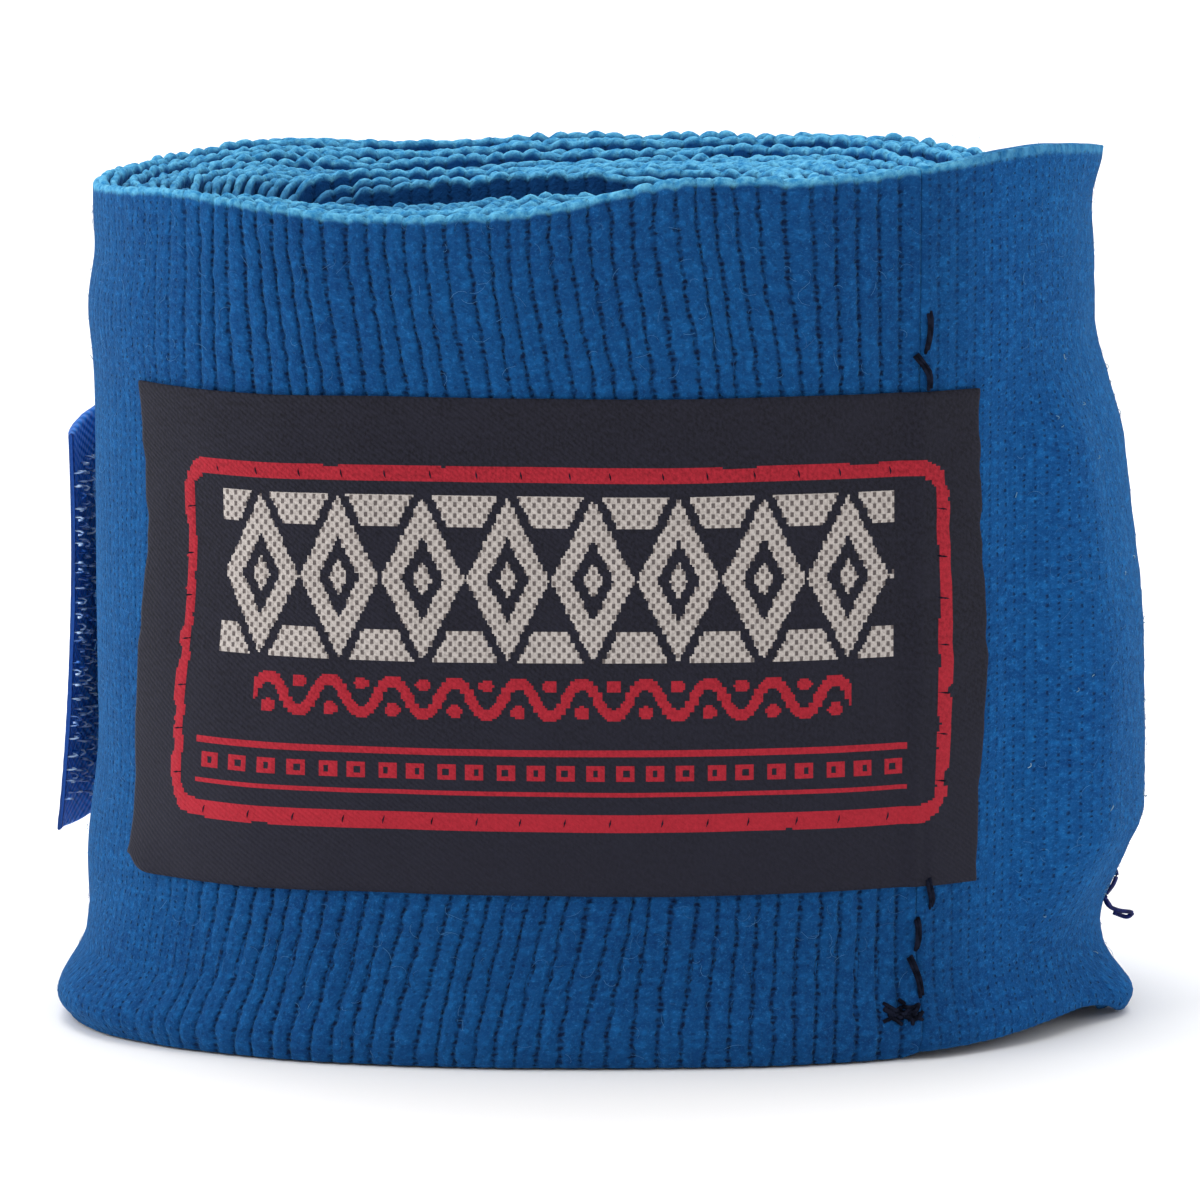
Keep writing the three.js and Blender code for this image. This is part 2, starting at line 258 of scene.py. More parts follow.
def piece(name, vertices, faces, uv=None, materials=(), material_of_face=None, attributes=None, caps=0):
    """A smooth mesh from millimetres, its last `caps` faces flat. `uv` is one pair per corner."""
    mesh = bpy.data.meshes.new(name)
    mesh.from_pydata((np.asarray(vertices, float) * MM).tolist(), [], faces)
    if uv is not None:
        layer = mesh.uv_layers.new(name="UVMap")
        layer.data.foreach_set("uv", np.asarray(uv, np.float32).ravel())
    for material in materials:
        mesh.materials.append(material)
    if material_of_face is not None:
        mesh.polygons.foreach_set("material_index", np.asarray(material_of_face, np.int32))
    for label, values in (attributes or {}).items():
        attribute = mesh.attributes.new(label, "FLOAT", "POINT")
        attribute.data.foreach_set("value", np.asarray(values, np.float32).ravel())
    mesh.polygons.foreach_set("use_smooth", np.arange(len(faces)) < len(faces) - caps)
    mesh.update()
    made = bpy.data.objects.new(name, mesh)
    bpy.context.scene.collection.objects.link(made)
    return made


def band(name, points, texture, material, attributes=None):
    """A closed strip from cross-section loops: points[column, row], texture[column, row, 2].

    The last texture row lies over the first point row again, so the map doesn't jump back.
    """
    columns, rows = points.shape[:2]
    index = np.arange(columns * rows).reshape(columns, rows)
    following = np.roll(index, -1, axis=1)
    quads = np.stack([index[:-1], index[1:], following[1:], following[:-1]], axis=-1)
    a, b = texture[:-1], texture[1:]
    corners = np.stack([a[:, :-1], b[:, :-1], b[:, 1:], a[:, 1:]], axis=2)
    caps = [index[0].tolist(), index[-1][::-1].tolist()]
    uv = np.concatenate([corners.reshape(-1, 2), texture[0, :-1], texture[-1, :-1][::-1]])
    return piece(
        name,
        points.reshape(-1, 3),
        quads.reshape(-1, 4).tolist() + caps,
        uv=uv,
        materials=[material],
        attributes=attributes,
        caps=2,
    )


class Section:
    """Once round the cross-section of an upright cloth: up the outer face, over, down, and under."""

    def __init__(self, rows, back_rows=3, round_steps=5):
        arc = np.linspace(0, math.pi, round_steps + 2)[1:-1]
        up = np.linspace(0, 1, rows + 1)
        down = np.linspace(1, 0, back_rows + 1)
        self.side = np.concatenate([np.ones(rows + 1), np.cos(arc), -np.ones(back_rows + 1), -np.cos(arc)])
        self.height = np.concatenate([up, np.ones(round_steps), down, np.zeros(round_steps)])
        single, double = np.sin(arc), np.abs(np.sin(2 * arc)) ** 0.5
        self.bulge = np.concatenate([0 * up, single, 0 * down, -single])
        self.double_bulge = np.concatenate([0 * up, double, 0 * down, -double])

    def heights(self, bottom, top, half, bulge=None):
        """Heights of the section's points between two edges, `half` being half the thickness."""
        bulge = self.bulge if bulge is None else bulge
        return bottom + half + self.height * (top - bottom - 2 * half) + bulge * half

    def texture_v(self, thickness):
        """Texture height in millimetres, from 0 to HEIGHT up the outer face, and on round the section."""
        half = thickness / 2
        y = self.height * HEIGHT + self.bulge * half
        x = self.side * half
        loop_x, loop_y = np.append(x, x[0]), np.append(y, y[0])
        steps = np.hypot(np.diff(loop_x), np.diff(loop_y))
        return np.concatenate([[0], np.cumsum(steps)])


def tubes(name, paths, radius, material, sides=4):
    """Many thin round strands in one mesh. Each path is a list of millimetre points."""
    vertices, faces = [], []
    turn = np.arange(sides) * 2 * math.pi / sides
    for path in paths:
        path = np.asarray(path, float)
        along = np.gradient(path, axis=0)
        along /= np.linalg.norm(along, axis=1, keepdims=True) + 1e-9
        guide = np.where(np.abs(along[:, 2:]) < 0.8, [[0, 0, 1]], [[1, 0, 0]])
        if (np.abs(along[:, 2]) < 0.8).any():
            guide = np.where(np.abs(along[:, 2:]) < 0.97, [[0, 0, 1.0]], guide)
        across = np.cross(along, guide)
        across /= np.linalg.norm(across, axis=1, keepdims=True) + 1e-9
        over = np.cross(across, along)
        c, s = np.cos(turn)[None, :, None], np.sin(turn)[None, :, None]
        ring = across[:, None] * c + over[:, None] * s
        start = len(vertices)
        vertices.extend((path[:, None] + radius * ring).reshape(-1, 3).tolist())
        for i in range(len(path) - 1):
            low, high = start + i * sides, start + (i + 1) * sides
            for j in range(sides):
                k = (j + 1) % sides
                faces.append((low + j, low + k, high + k, high + j))
        last = start + (len(path) - 1) * sides
        faces.append(tuple(start + j for j in reversed(range(sides))))
        faces.append(tuple(last + j for j in range(sides)))
    return piece(name, vertices, faces, materials=[material])


# ---- Materials --------------------------------------------------------------------------------


def linear(red, green, blue):
    """A colour given as 0 to 255 sRGB."""
    channel = lambda c: c / 12.92 if c <= 0.04045 else ((c + 0.055) / 1.055) ** 2.4
    return (channel(red / 255), channel(green / 255), channel(blue / 255), 1.0)


class Look:
    """A small builder for one node material on a Principled shader."""

    def __init__(self, name, roughness=0.9, specular=0.25, sheen=0.0, sheen_tint=(1, 1, 1, 1)):
        self.material = bpy.data.materials.new(name)
        self.material.use_nodes = True
        self.tree = self.material.node_tree
        self.shader = self.tree.nodes["Principled BSDF"]
        self.shader.inputs["Roughness"].default_value = roughness
        self.shader.inputs["Specular IOR Level"].default_value = specular
        self.shader.inputs["Sheen Weight"].default_value = sheen
        self.shader.inputs["Sheen Roughness"].default_value = 0.4
        self.shader.inputs["Sheen Tint"].default_value = sheen_tint

    def put(self, socket, value):
        if isinstance(value, bpy.types.NodeSocket):
            self.tree.links.new(value, socket)
        else:
            socket.default_value = value

    def node(self, kind, **settings):
        made = self.tree.nodes.new(kind)
        for key, value in settings.items():
            setattr(made, key, value)
        return made

    def maths(self, operation, a, b=0.0, clamp=False):
        made = self.node("ShaderNodeMath", operation=operation, use_clamp=clamp)
        self.put(made.inputs[0], a)
        self.put(made.inputs[1], b)
        return made.outputs[0]

    def times(self, a, b, clamp=False):
        return self.maths("MULTIPLY", a, b, clamp)

    def plus(self, a, b):
        return self.maths("ADD", a, b)

    def minus(self, a, b):
        return self.maths("SUBTRACT", a, b)

    def absolute(self, a):
        return self.maths("ABSOLUTE", a)

    def from_middle(self, repeats):
        """Distance from the middle of each whole step of a counting value, 0 to 0.5."""
        return self.absolute(self.minus(self.maths("FRACT", repeats), 0.5))

    def attribute(self, name):
        return self.node("ShaderNodeAttribute", attribute_name=name).outputs["Fac"]

    def ramp(self, value, low, high, to_low=0.0, to_high=1.0):
        made = self.node("ShaderNodeMapRange", interpolation_type="SMOOTHSTEP")
        for i, item in enumerate((value, low, high, to_low, to_high)):
            self.put(made.inputs[i], item)
        return made.outputs[0]

    def mix(self, factor, a, b):
        made = self.node("ShaderNodeMix", data_type="RGBA")
        self.put(made.inputs[0], factor)
        self.put(made.inputs[6], a)
        self.put(made.inputs[7], b)
        return made.outputs[2]

    def texture_place(self):
        """The UV map as separate u and v."""
        split = self.node("ShaderNodeSeparateXYZ")
        self.tree.links.new(self.node("ShaderNodeUVMap", uv_map="UVMap").outputs[0], split.inputs[0])
        return split.outputs[0], split.outputs[1]

    def vector(self, x, y, z=0.0):
        made = self.node("ShaderNodeCombineXYZ")
        for socket, value in zip(made.inputs, (x, y, z)):
            self.put(socket, value)
        return made.outputs[0]

    def noise(self, place, scale, detail=2.0, roughness=0.5):
        made = self.node("ShaderNodeTexNoise")
        self.put(made.inputs["Vector"], place)
        made.inputs["Scale"].default_value = scale
        made.inputs["Detail"].default_value = detail
        made.inputs["Roughness"].default_value = roughness
        return made.outputs[0]

    def cells(self, place, scale):
        made = self.node("ShaderNodeTexVoronoi", feature="SMOOTH_F1")
        self.put(made.inputs["Vector"], place)
        made.inputs["Scale"].default_value = scale
        return made.outputs["Distance"]

    def bump(self, height, distance_mm):
        made = self.node("ShaderNodeBump")
        made.inputs["Strength"].default_value = 1.0
        made.inputs["Distance"].default_value = distance_mm * MM
        self.put(made.inputs["Height"], height)
        self.put(self.shader.inputs["Normal"], made.outputs[0])

    def colour(self, value):
        self.put(self.shader.inputs["Base Color"], value)


def cloth_look(name):
    """Knitted elastic cotton: u counts ribs and v is millimetres up the cloth.

    Three point attributes steer it: `ribs` fades the ribs out, `buried` is 0 on the outside and from
    0.5 to 1 on the turns inside, whose sides lie in shade and get painted shade, and `doubled` paints the
    sewn end lighter, as painted light.
    """
    look = Look(name, roughness=0.95, specular=0.12, sheen=0.2, sheen_tint=linear(90, 185, 245))
    u, v = look.texture_place()
    place = look.vector(look.times(u, RIB_PITCH), v)
    stretched = look.vector(look.times(u, RIB_PITCH * 1.6), look.times(v, 0.9))
    relief = look.attribute("ribs")

    jag = look.times(look.minus(look.noise(place, 2.6, 2.0), 0.5), 0.44)
    groove = look.ramp(look.plus(look.from_middle(u), jag), 0.35, 0.47)
    drift = look.times(look.noise(place, 1.1, 1.0), 9.0)
    beads = look.maths("SINE", look.plus(look.times(v, 2 * math.pi / 0.40), drift))
    pits = look.ramp(look.noise(stretched, 2.1, 1.0), 0.34, 0.62, 0.45, 1.0)
    pits = look.times(pits, look.ramp(beads, -0.9, 0.5, 0.45, 1.0))
    groove = look.times(look.times(groove, pits), relief)

    # Fine knit columns, two to a rib, show where the ribs are drawn flat, their stitch holes painted dark
    # as painted shade
    fine_from = look.from_middle(look.times(u, 2.0))
    column = look.ramp(look.plus(fine_from, look.times(jag, 0.8)), 0.30, 0.48)
    along_columns = look.vector(look.times(u, 2.0), v)
    patchy = look.ramp(look.noise(along_columns, 1.3, 2.0), 0.40, 0.60, 0.35, 1.0)
    stitch = look.times(patchy, look.ramp(beads, 0.0, 0.8))
    drawn_flat = look.ramp(relief, 0.0, 1.0, 1.0, 0.35)
    dots = look.times(look.times(column, stitch), drawn_flat)

    mottle = look.noise(place, 1.6, 4.0, 0.7)
    fluff_and_highlight = look.noise(place, 7.5, 3.0, 0.65)
    yarn = look.cells(place, 2.6)
    patches = look.noise(place, 0.09, 2.0)

    body = look.mix(look.ramp(mottle, 0.3, 0.7), linear(8, 60, 114), linear(18, 84, 143))
    body = look.mix(look.ramp(patches, 0.35, 0.65, 0.0, 0.30), body, linear(20, 92, 152))
    # Paler flecks: partly the fuzz's own paler tone, partly painted highlight
    body = look.mix(look.ramp(fluff_and_highlight, 0.50, 0.78, 0.0, 0.6), body, linear(56, 128, 190))
    # Painted shade: darker between the yarns, in the knit's stitch holes and in the grooves between ribs
    body = look.mix(look.ramp(yarn, 0.15, 0.5, 0.0, 0.40), body, linear(6, 42, 90))
    body = look.mix(look.times(dots, 0.8, clamp=True), body, linear(5, 24, 60))
    body = look.mix(look.times(groove, 0.95, clamp=True), body, linear(5, 20, 52))
    # Painted light: the sewn end is painted up to 1.26 times lighter
    doubled = look.attribute("doubled")
    end_painted_light = look.node("ShaderNodeVectorMath", operation="SCALE")
    look.put(end_painted_light.inputs["Vector"], body)
    look.put(end_painted_light.inputs["Scale"], look.ramp(doubled, 0.0, 1.0, 1.0, 1.26))
    body = end_painted_light.outputs["Vector"]

    # Painted shade on the sides of the turns inside
    buried = look.attribute("buried")
    from_top = look.absolute(look.minus(v, HEIGHT + 0.39))
    reach = look.ramp(buried, 0.0, 0.5, 0.74, 0.62)
    edge = look.ramp(from_top, reach, look.minus(reach, 0.40))
    crevice_shade = look.times(look.ramp(from_top, 0.25, 0.8), look.ramp(buried, 0.0, 0.5, 0.0, 0.65))
    body = look.mix(crevice_shade, body, linear(10, 58, 110))
    # Painted highlight on the top edges, where fuzz catches the light; weaker on lower rows and on the
    # sewn end
    edge_highlight_tone = look.mix(look.ramp(mottle, 0.3, 0.7), linear(34, 122, 176), linear(108, 188, 222))
    edge_highlight = look.times(edge, look.ramp(buried, 0.5, 1.0, 0.88, 0.35))
    edge_highlight = look.times(edge_highlight, look.ramp(doubled, 0.0, 1.0, 1.0, 0.5))
    look.colour(look.mix(edge_highlight, body, edge_highlight_tone))

    height = look.times(fluff_and_highlight, 0.30)
    height = look.plus(height, look.times(look.noise(place, 3.2, 3.0, 0.7), 0.8))
    height = look.minus(height, look.times(yarn, 0.55))
    height = look.minus(height, look.times(groove, 0.6))
    height = look.minus(height, look.times(dots, 0.5))
    look.bump(height, 0.16)
    return look.material


def label_look(name, base, high, dots=None):
    """Woven satin. u and v are millimetres on the label."""
    look = Look(name, roughness=0.75, specular=0.18, sheen=0.03, sheen_tint=linear(190, 190, 210))
    u, v = look.texture_place()
    twill = look.maths("SINE", look.times(look.plus(u, look.times(v, 1.35)), 16.0))
    grain = look.noise(look.vector(u, look.times(v, 0.6)), 6.0, 3.0, 0.7)
    patches = look.noise(look.vector(u, v), 0.35, 3.0)
    mixed = look.mix(look.ramp(grain, 0.3, 0.7), base, high)
    mixed = look.mix(look.ramp(twill, -0.2, 1.0, 0.0, 0.14), mixed, high)
    mixed = look.mix(look.ramp(patches, 0.45, 0.7, 0.0, 0.3), mixed, high)
    # Painted light: the label is painted paler towards its foot, to offset the lesser light there
    painted_light_foot = look.ramp(v, 18.0, 0.0, 0.0, 0.5)
    mixed = look.mix(painted_light_foot, mixed, high)
    height = look.plus(look.times(twill, 0.25), grain)
    if dots:
        # The ground shows through as small upright dots in staggered rows
        column = look.maths("DIVIDE", u, 0.28)
        shift = look.times(look.maths("MODULO", look.maths("FLOOR", column), 2.0), 0.5)
        across = look.from_middle(column)
        up = look.from_middle(look.plus(look.maths("DIVIDE", v, 0.64), shift))
        spot = look.times(look.ramp(across, 0.40, 0.22), look.ramp(up, 0.26, 0.14))
        mixed = look.mix(look.times(spot, 0.85), mixed, dots)
        height = look.minus(height, look.times(spot, 1.5))
    look.colour(mixed)
    look.bump(height, 0.05)
    return look.material


def plain_weave_look(name, dark, light, scale, roughness=0.75, sheen=0.1, painted_light_face=None):
    """Narrow woven tape, from the position on the piece's own map.

    The paler tone for the face with the hooks, past the middle of the map, is painted light, as that face
    lies in the roll's shade.
    """
    look = Look(name, roughness=roughness, specular=0.3, sheen=sheen)
    u, v = look.texture_place()
    warp = look.maths("SINE", look.times(u, scale))
    weft = look.maths("SINE", look.times(v, scale * 1.3))
    weave = look.times(warp, weft)
    grain = look.noise(look.vector(u, v), 3.0, 3.0)
    mixed = look.mix(look.ramp(weave, -0.6, 0.8), dark, light)
    mixed = look.mix(look.ramp(grain, 0.4, 0.75, 0.0, 0.35), mixed, light)
    if painted_light_face:
        # Painted light: the face with the hooks is painted paler to offset the shade it lies in
        cut = float(length_at(TIP_END))
        past_edge = look.ramp(v, 25.0, 25.6, 0.0, 0.85)
        inner_face = look.times(past_edge, look.ramp(u, cut - 0.3, cut - 0.7))
        mixed = look.mix(inner_face, mixed, painted_light_face)
    look.colour(mixed)
    look.bump(look.plus(weave, grain), 0.06)
    return look.material


def strand_look(name, dark, light, scale, roughness=0.6, specular=0.35, sheen=0.0):
    """Thread, filament or fibre, mottled by place."""
    look = Look(name, roughness=roughness, specular=specular, sheen=sheen)
    place = look.node("ShaderNodeTexCoord").outputs["Object"]
    grain = look.noise(place, scale, 2.0)
    look.colour(look.mix(look.ramp(grain, 0.35, 0.65), dark, light))
    look.bump(grain, 0.03)
    return look.material


def floor_look():
    look = Look("pale_floor", roughness=0.8, specular=0.15)
    place = look.node("ShaderNodeTexCoord").outputs["Object"]
    look.colour(look.mix(look.noise(place, 2.0, 2.0), linear(246, 246, 246), linear(250, 250, 250)))
    return look.material


CLOTH_LOOK = cloth_look("ribbed_cotton")

LABEL_BLACK = label_look("label_black_satin", linear(16, 15, 24), linear(34, 34, 47))
LABEL_RED = label_look("label_red_yarn", linear(130, 18, 33), linear(172, 36, 51))
CREAM = linear(160, 152, 148), linear(194, 186, 181)
LABEL_CREAM = label_look("label_cream_yarn", *CREAM, dots=linear(76, 66, 66))

TAPE_BLUE = linear(8, 58, 136), linear(22, 86, 172)
# The paler tone for the face with the hooks is painted light, as that face lies in the roll's shade
TAPE_LOOK = plain_weave_look("tape_weave", *TAPE_BLUE, 9.0, painted_light_face=linear(26, 146, 250))
WEBBING_BLUE = linear(16, 66, 134), linear(52, 118, 188)
WEBBING_LOOK = plain_weave_look("loop_webbing", *WEBBING_BLUE, 5.0, roughness=0.9)
PILE_GROUND_BLUE = linear(8, 40, 104), linear(24, 76, 160)
PILE_GROUND_LOOK = plain_weave_look("pile_ground", *PILE_GROUND_BLUE, 7.0, roughness=0.9)

HOOK_BLUE = linear(40, 110, 200), linear(190, 220, 248)
HOOK_LOOK = strand_look("hook_filament", *HOOK_BLUE, 900, roughness=0.25, specular=0.6)
PILE_BLUE = linear(18, 66, 150), linear(58, 118, 196)
PILE_LOOK = strand_look("loop_pile_fibre", *PILE_BLUE, 700, roughness=0.85, sheen=0.3)
BLACK = linear(9, 12, 24), linear(24, 28, 44)
BLACK_THREAD = strand_look("black_thread", *BLACK, 2500, roughness=0.9, specular=0.06)
NAVY_THREAD = strand_look("navy_thread", linear(10, 16, 70), linear(26, 36, 110), 2500)
FUZZ_BLUE = linear(30, 84, 140), linear(70, 126, 176)
FUZZ_LOOK = strand_look("loose_cotton_fibre", *FUZZ_BLUE, 300, roughness=0.95)
LINT_GREY = linear(96, 140, 170), linear(150, 180, 196)
LINT_LOOK = strand_look("pale_lint", *LINT_GREY, 300, roughness=0.95)


# ---- The strip --------------------------------------------------------------------------------

# (x, height) of the last turn's top edge, along the front from the left to the seam, and at the back
FRONT_TOP = [(-28, 49.6), (-23.5, 50.0), (-19, 49.5), (-6, 49.4), (-1.6, 50.1), (3, 51.0)]
FRONT_TOP += [(16, 51.5), (21, 52.1)]
BACK_TOP = [(-30, 49.0), (-24, 48.9), (-20.5, 49.3), (-17, 49.0), (-9, 48.85), (-3, 49.2)]
BACK_TOP += [(4, 49.3), (16, 49.6), (20.5, 49.45), (24, 49.3)]


def top_edge(angle, x):
    front = through(x, FRONT_TOP)
    back = through(x, BACK_TOP) + 0.05 + 0.5 * smooth(x, -22, -19) * (1 - smooth(x, -9, -4))
    return back + (front - back) * smooth(angle, 178, 215)


def rib_shape(phase):
    """0 in the narrow groove between two ribs, and 1 on the crown."""
    from_groove = np.abs(np.mod(phase + 0.5, 1) - 0.5)
    return 1 - np.exp(-((from_groove / 0.155) ** 2)) + 0.10 * np.sin(math.pi * np.mod(phase, 1))


def rib_lean(x, z, front):
    """How far a rib has slid along the cloth at a height; it is upright behind the label."""
    above = -1.5 * smooth(z, 36, 50) * (smooth(x, -24, -15) - 0.75 * smooth(x, 8, 16))
    below = -2.4 * (1 - smooth(z, -1, 13)) * (0.3 + 0.7 * smooth(x, -27, -19))
    below = below * (1 - 0.8 * smooth(x, -2, 9))
    return (above + below) * front


def rib_columns(start, end, phases):
    """Lengths along the cloth and rib phases of every column between two angles."""
    first = length_at(start)
    ribs = int((length_at(end) - first) / RIB_PITCH)
    phase = (np.arange(ribs)[:, None] + np.array(phases)[None]).ravel()
    return phase, first + phase * (length_at(end) - first) / ribs


def bottom_rise(x, y):
    """The roll's lower edge stands clear of the floor at the right of the front."""
    return 0.8 * smooth(x, 17, 26) * smooth(y, 3, -4)


def skirt(angle, z):
    """The bottom edge flares out, most at the left."""
    left = bell(angle, 208, 25)
    reach = 0.75 + 2.4 * left + 0.25 * smooth(angle, 215, 250)
    return reach * bell(z, 1.2, np.where(z > 1.2, 2.2 + 0.3 * left, 2.2))


def waves(angle, z):
    """Unevenness of the outermost cloth."""
    s = length_at(angle)
    left = bell(angle, 190, 38)
    creases = 0.30 * left * bell(z, 42.5, 2.4) - 0.15 * left * bell(z, 46.2, 1.6)
    creases = creases + bell(angle, 188, 40) * (0.75 * bell(z, 9.5, 4.5) - 0.35 * smooth(z, 3, 12))
    return creases + 0.13 * wander2(s, z, 9, 11, 21) + 0.05 * wander2(s, z, 2.2, 5, 22)


def cloth_surface(angle, z):
    """Outer face of the last turn, at the mean height of its ribs."""
    return strip_outer(angle) + skirt(angle, z) + waves(angle, z)


def ribbed_cloth(name, phase, section, thickness, angle, offset, z, attributes):
    """A band of the cloth, from its rib phases and from where the points of its section lie."""
    px, py = oval(angle, offset)
    points = together(px, py, z)
    texture = together(phase[:, None], section.texture_v(thickness)[None])
    spread = {label: np.broadcast_to(value, points.shape[:2]) for label, value in attributes.items()}
    return band(name, points, texture, CLOTH_LOOK, spread)


def outer_turn():
    """The last turn, with its ribs, up to the seam that holds the doubled end."""
    phase, length = rib_columns(HEM_FOLD - 366, SEAM - 0.4, (0, 0.08, 0.17, 0.33, 0.5, 0.67, 0.83, 0.92))
    section = Section(rows=160, back_rows=4, round_steps=5)
    s, f = length[:, None], section.height[None]
    x0, _ = oval(angle_at(s), OUTER_OFFSET)
    front = smooth(angle_at(s), 190, 212)
    z0 = f * HEIGHT
    wobble = 0.10 * wander2(s, z0, 0.5, 0.62, 11) + 0.24 * wander2(s, z0, 2.3, 9, 12)
    pinned = 1 - smooth(s, length[-1] - 5, length[-1])
    slide = (rib_lean(x0, z0, front) + wobble * (section.side[None] > 0)) * pinned
    angle = angle_at(s + slide)
    x, _ = oval(angle, OUTER_OFFSET)

    near_seam = smooth(angle, SEAM - 5.0, SEAM - 0.4)
    ribbed = 0.12 + 0.88 * smooth(x, -27.0, -20.5)
    depth = (0.15 + 0.04 * wander2(s, z0, 1.1, 0.8, 23)) * ribbed * (1 - 0.6 * near_seam)
    ribs = (rib_shape(phase)[:, None] - 0.6) * depth
    middle = cloth_surface(angle, z0) - KNIT / 2 - SEAM_DIP * near_seam**3
    offset = middle + section.side * KNIT / 2 + ribs * (0.35 + 0.65 * section.side)

    top = top_edge(angle, x) + 0.10 * wander(s, 3.1, 24)
    scallop = 0.13 * (rib_shape(phase)[:, None] - 0.5) * ribbed + 0.08 * wander2(s, 0 * f, 0.6, 1, 25)
    scallop = scallop * (0.4 + 0.6 * smooth(angle, 178, 200))
    half = KNIT / 2
    at_seam = END_RISE * smooth(angle, SEAM - 3.5, SEAM)
    bottom = np.maximum(at_seam, bottom_rise(*oval(angle, OUTER_OFFSET)))
    z = section.heights(bottom, top, half) + scallop * smooth(f, 0.96, 1.0)
    relief = {"ribs": ribbed * (1 - 0.5 * near_seam)}
    made = ribbed_cloth("wrap_outer_turn", phase, section, KNIT, angle, offset, z, relief)
    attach(made, "roll")
    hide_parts("wrap_strip")


def inner_turns():
    """All the turns inside the last one, as one long strip on edge."""
    phase, length = rib_columns(STRIP_START, HEM_FOLD - 360 - 4, (0, 0.14, 0.38, 0.62, 0.86))
    section = Section(rows=4, back_rows=3, round_steps=5)
    angle = angle_at(length)[:, None]
    s, f = length[:, None], section.height[None]
    normal_pull = CORE_SHIFT[0] * np.cos(np.radians(angle)) + CORE_SHIFT[1] * np.sin(np.radians(angle))
    room = PITCH * (1 - normal_pull / (OUTER_OFFSET - PITCH - CLOTH))
    turn_from_outside = (STRIP_END - angle) / 360

    sway = 0.07 * wander(s, 4.3, 31) + 0.05 * wander2(s, f * HEIGHT, 3.0, 14, 32)
    flare = 0.55 * bell(f * HEIGHT, 0, 3.5) * np.clip(1.2 - turn_from_outside, 0, 1)
    ribs = 0.11 * (rib_shape(phase)[:, None] - 0.5)
    thickness = np.minimum(0.52, room - 0.08)
    half = thickness / 2
    x, y = oval(angle, strip_inner(angle))
    top = through(x, BACK_TOP)
    top = top + 0.45 * wander(turn_from_outside, 0.7, 33)
    top = top + 0.30 * wander(s, 17, 34) + 0.12 * wander(s, 3.7, 35)
    along_slit = smooth(x, -25, -21) * (1 - smooth(x, 5, 10))
    top = top - 1.0 * smooth(y, 0.3, -1.5) * smooth(y, -10, -6.5) * along_slit - 0.2 * smooth(y, 8, -14)
    top = top - 1.2 * bell(y, -2.6, 2.0) * smooth(x, -26, -20) * (1 - smooth(x, -17, -13))
    right = smooth(oval(angle, OUTER_OFFSET)[0], 2, 22) * (y < 4)
    top = top + 0.9 * right * np.clip(1.4 - 0.35 * turn_from_outside, 0, 1)
    scallop = (0.15 + 0.09 * wander(s, 5, 38)) * (rib_shape(phase)[:, None] - 0.5)
    scallop = scallop + 0.15 * wander(s, 0.7, 36)
    bottom = 0.25 * np.abs(wander(s, 6, 37)) + bottom_rise(x, y)
    z = section.heights(bottom, top, half) + scallop * smooth(f, 0.9, 1.0)
    offset = strip_inner(angle) + CLOTH / 2 + sway + flare + section.side * (half + 0.5 * ribs)
    # Turns with lower tops get more painted shade and less painted highlight on their top edges
    shade = {"ribs": 1.0, "buried": 1 - 0.5 * smooth(top, 48.0, 49.4)}
    made = ribbed_cloth("wrap_inner_turns", phase, section, 0.5, angle, offset, z, shade)
    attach(made, "roll")
    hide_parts("wrap_strip")


# ---- The doubled end --------------------------------------------------------------------------

# (angle, height) of its top edge
HEM_TOP = [(295, 51.8), (306, 52.2), (335, 52.1), (350, 51.5), (358, 51.2), (374, 49.8)]
HEM_TOP += [(395, 49.2), (420, 49.0)]
HEM_CLOTH = 0.84
SECOND_LAYER = 0.34  # what the turned-in cloth adds to one layer's thickness


def hem_surface(angle, z):
    """Outer face of the doubled end: over the tape, with its loose top and bottom corners."""
    corner = bell(angle, 352, 17)
    base = np.where(angle < STRIP_END, strip_outer(angle), hem_inner(angle, z) + HEM_CLOTH)
    bulb = 2.0 * bell(z, 1.2, 1.7) * bell(angle, 347, 11)
    lip = (1.1 * np.exp(-np.maximum(z, 0) / 2.6) + 0.4 * bell(z, 4, 3)) * bell(angle, 350, 18) + bulb
    flare = skirt(angle, z) * (1 - bell(angle, 350, 17))
    neck = -(0.2 * smooth(z, 38, 41) + 0.2 * bell(z, 47.5, 1.8)) * corner
    ear = 0.65 * smooth(z, 48.0, 52.0) * corner
    return base + lip + flare + neck + ear + waves(angle, z)


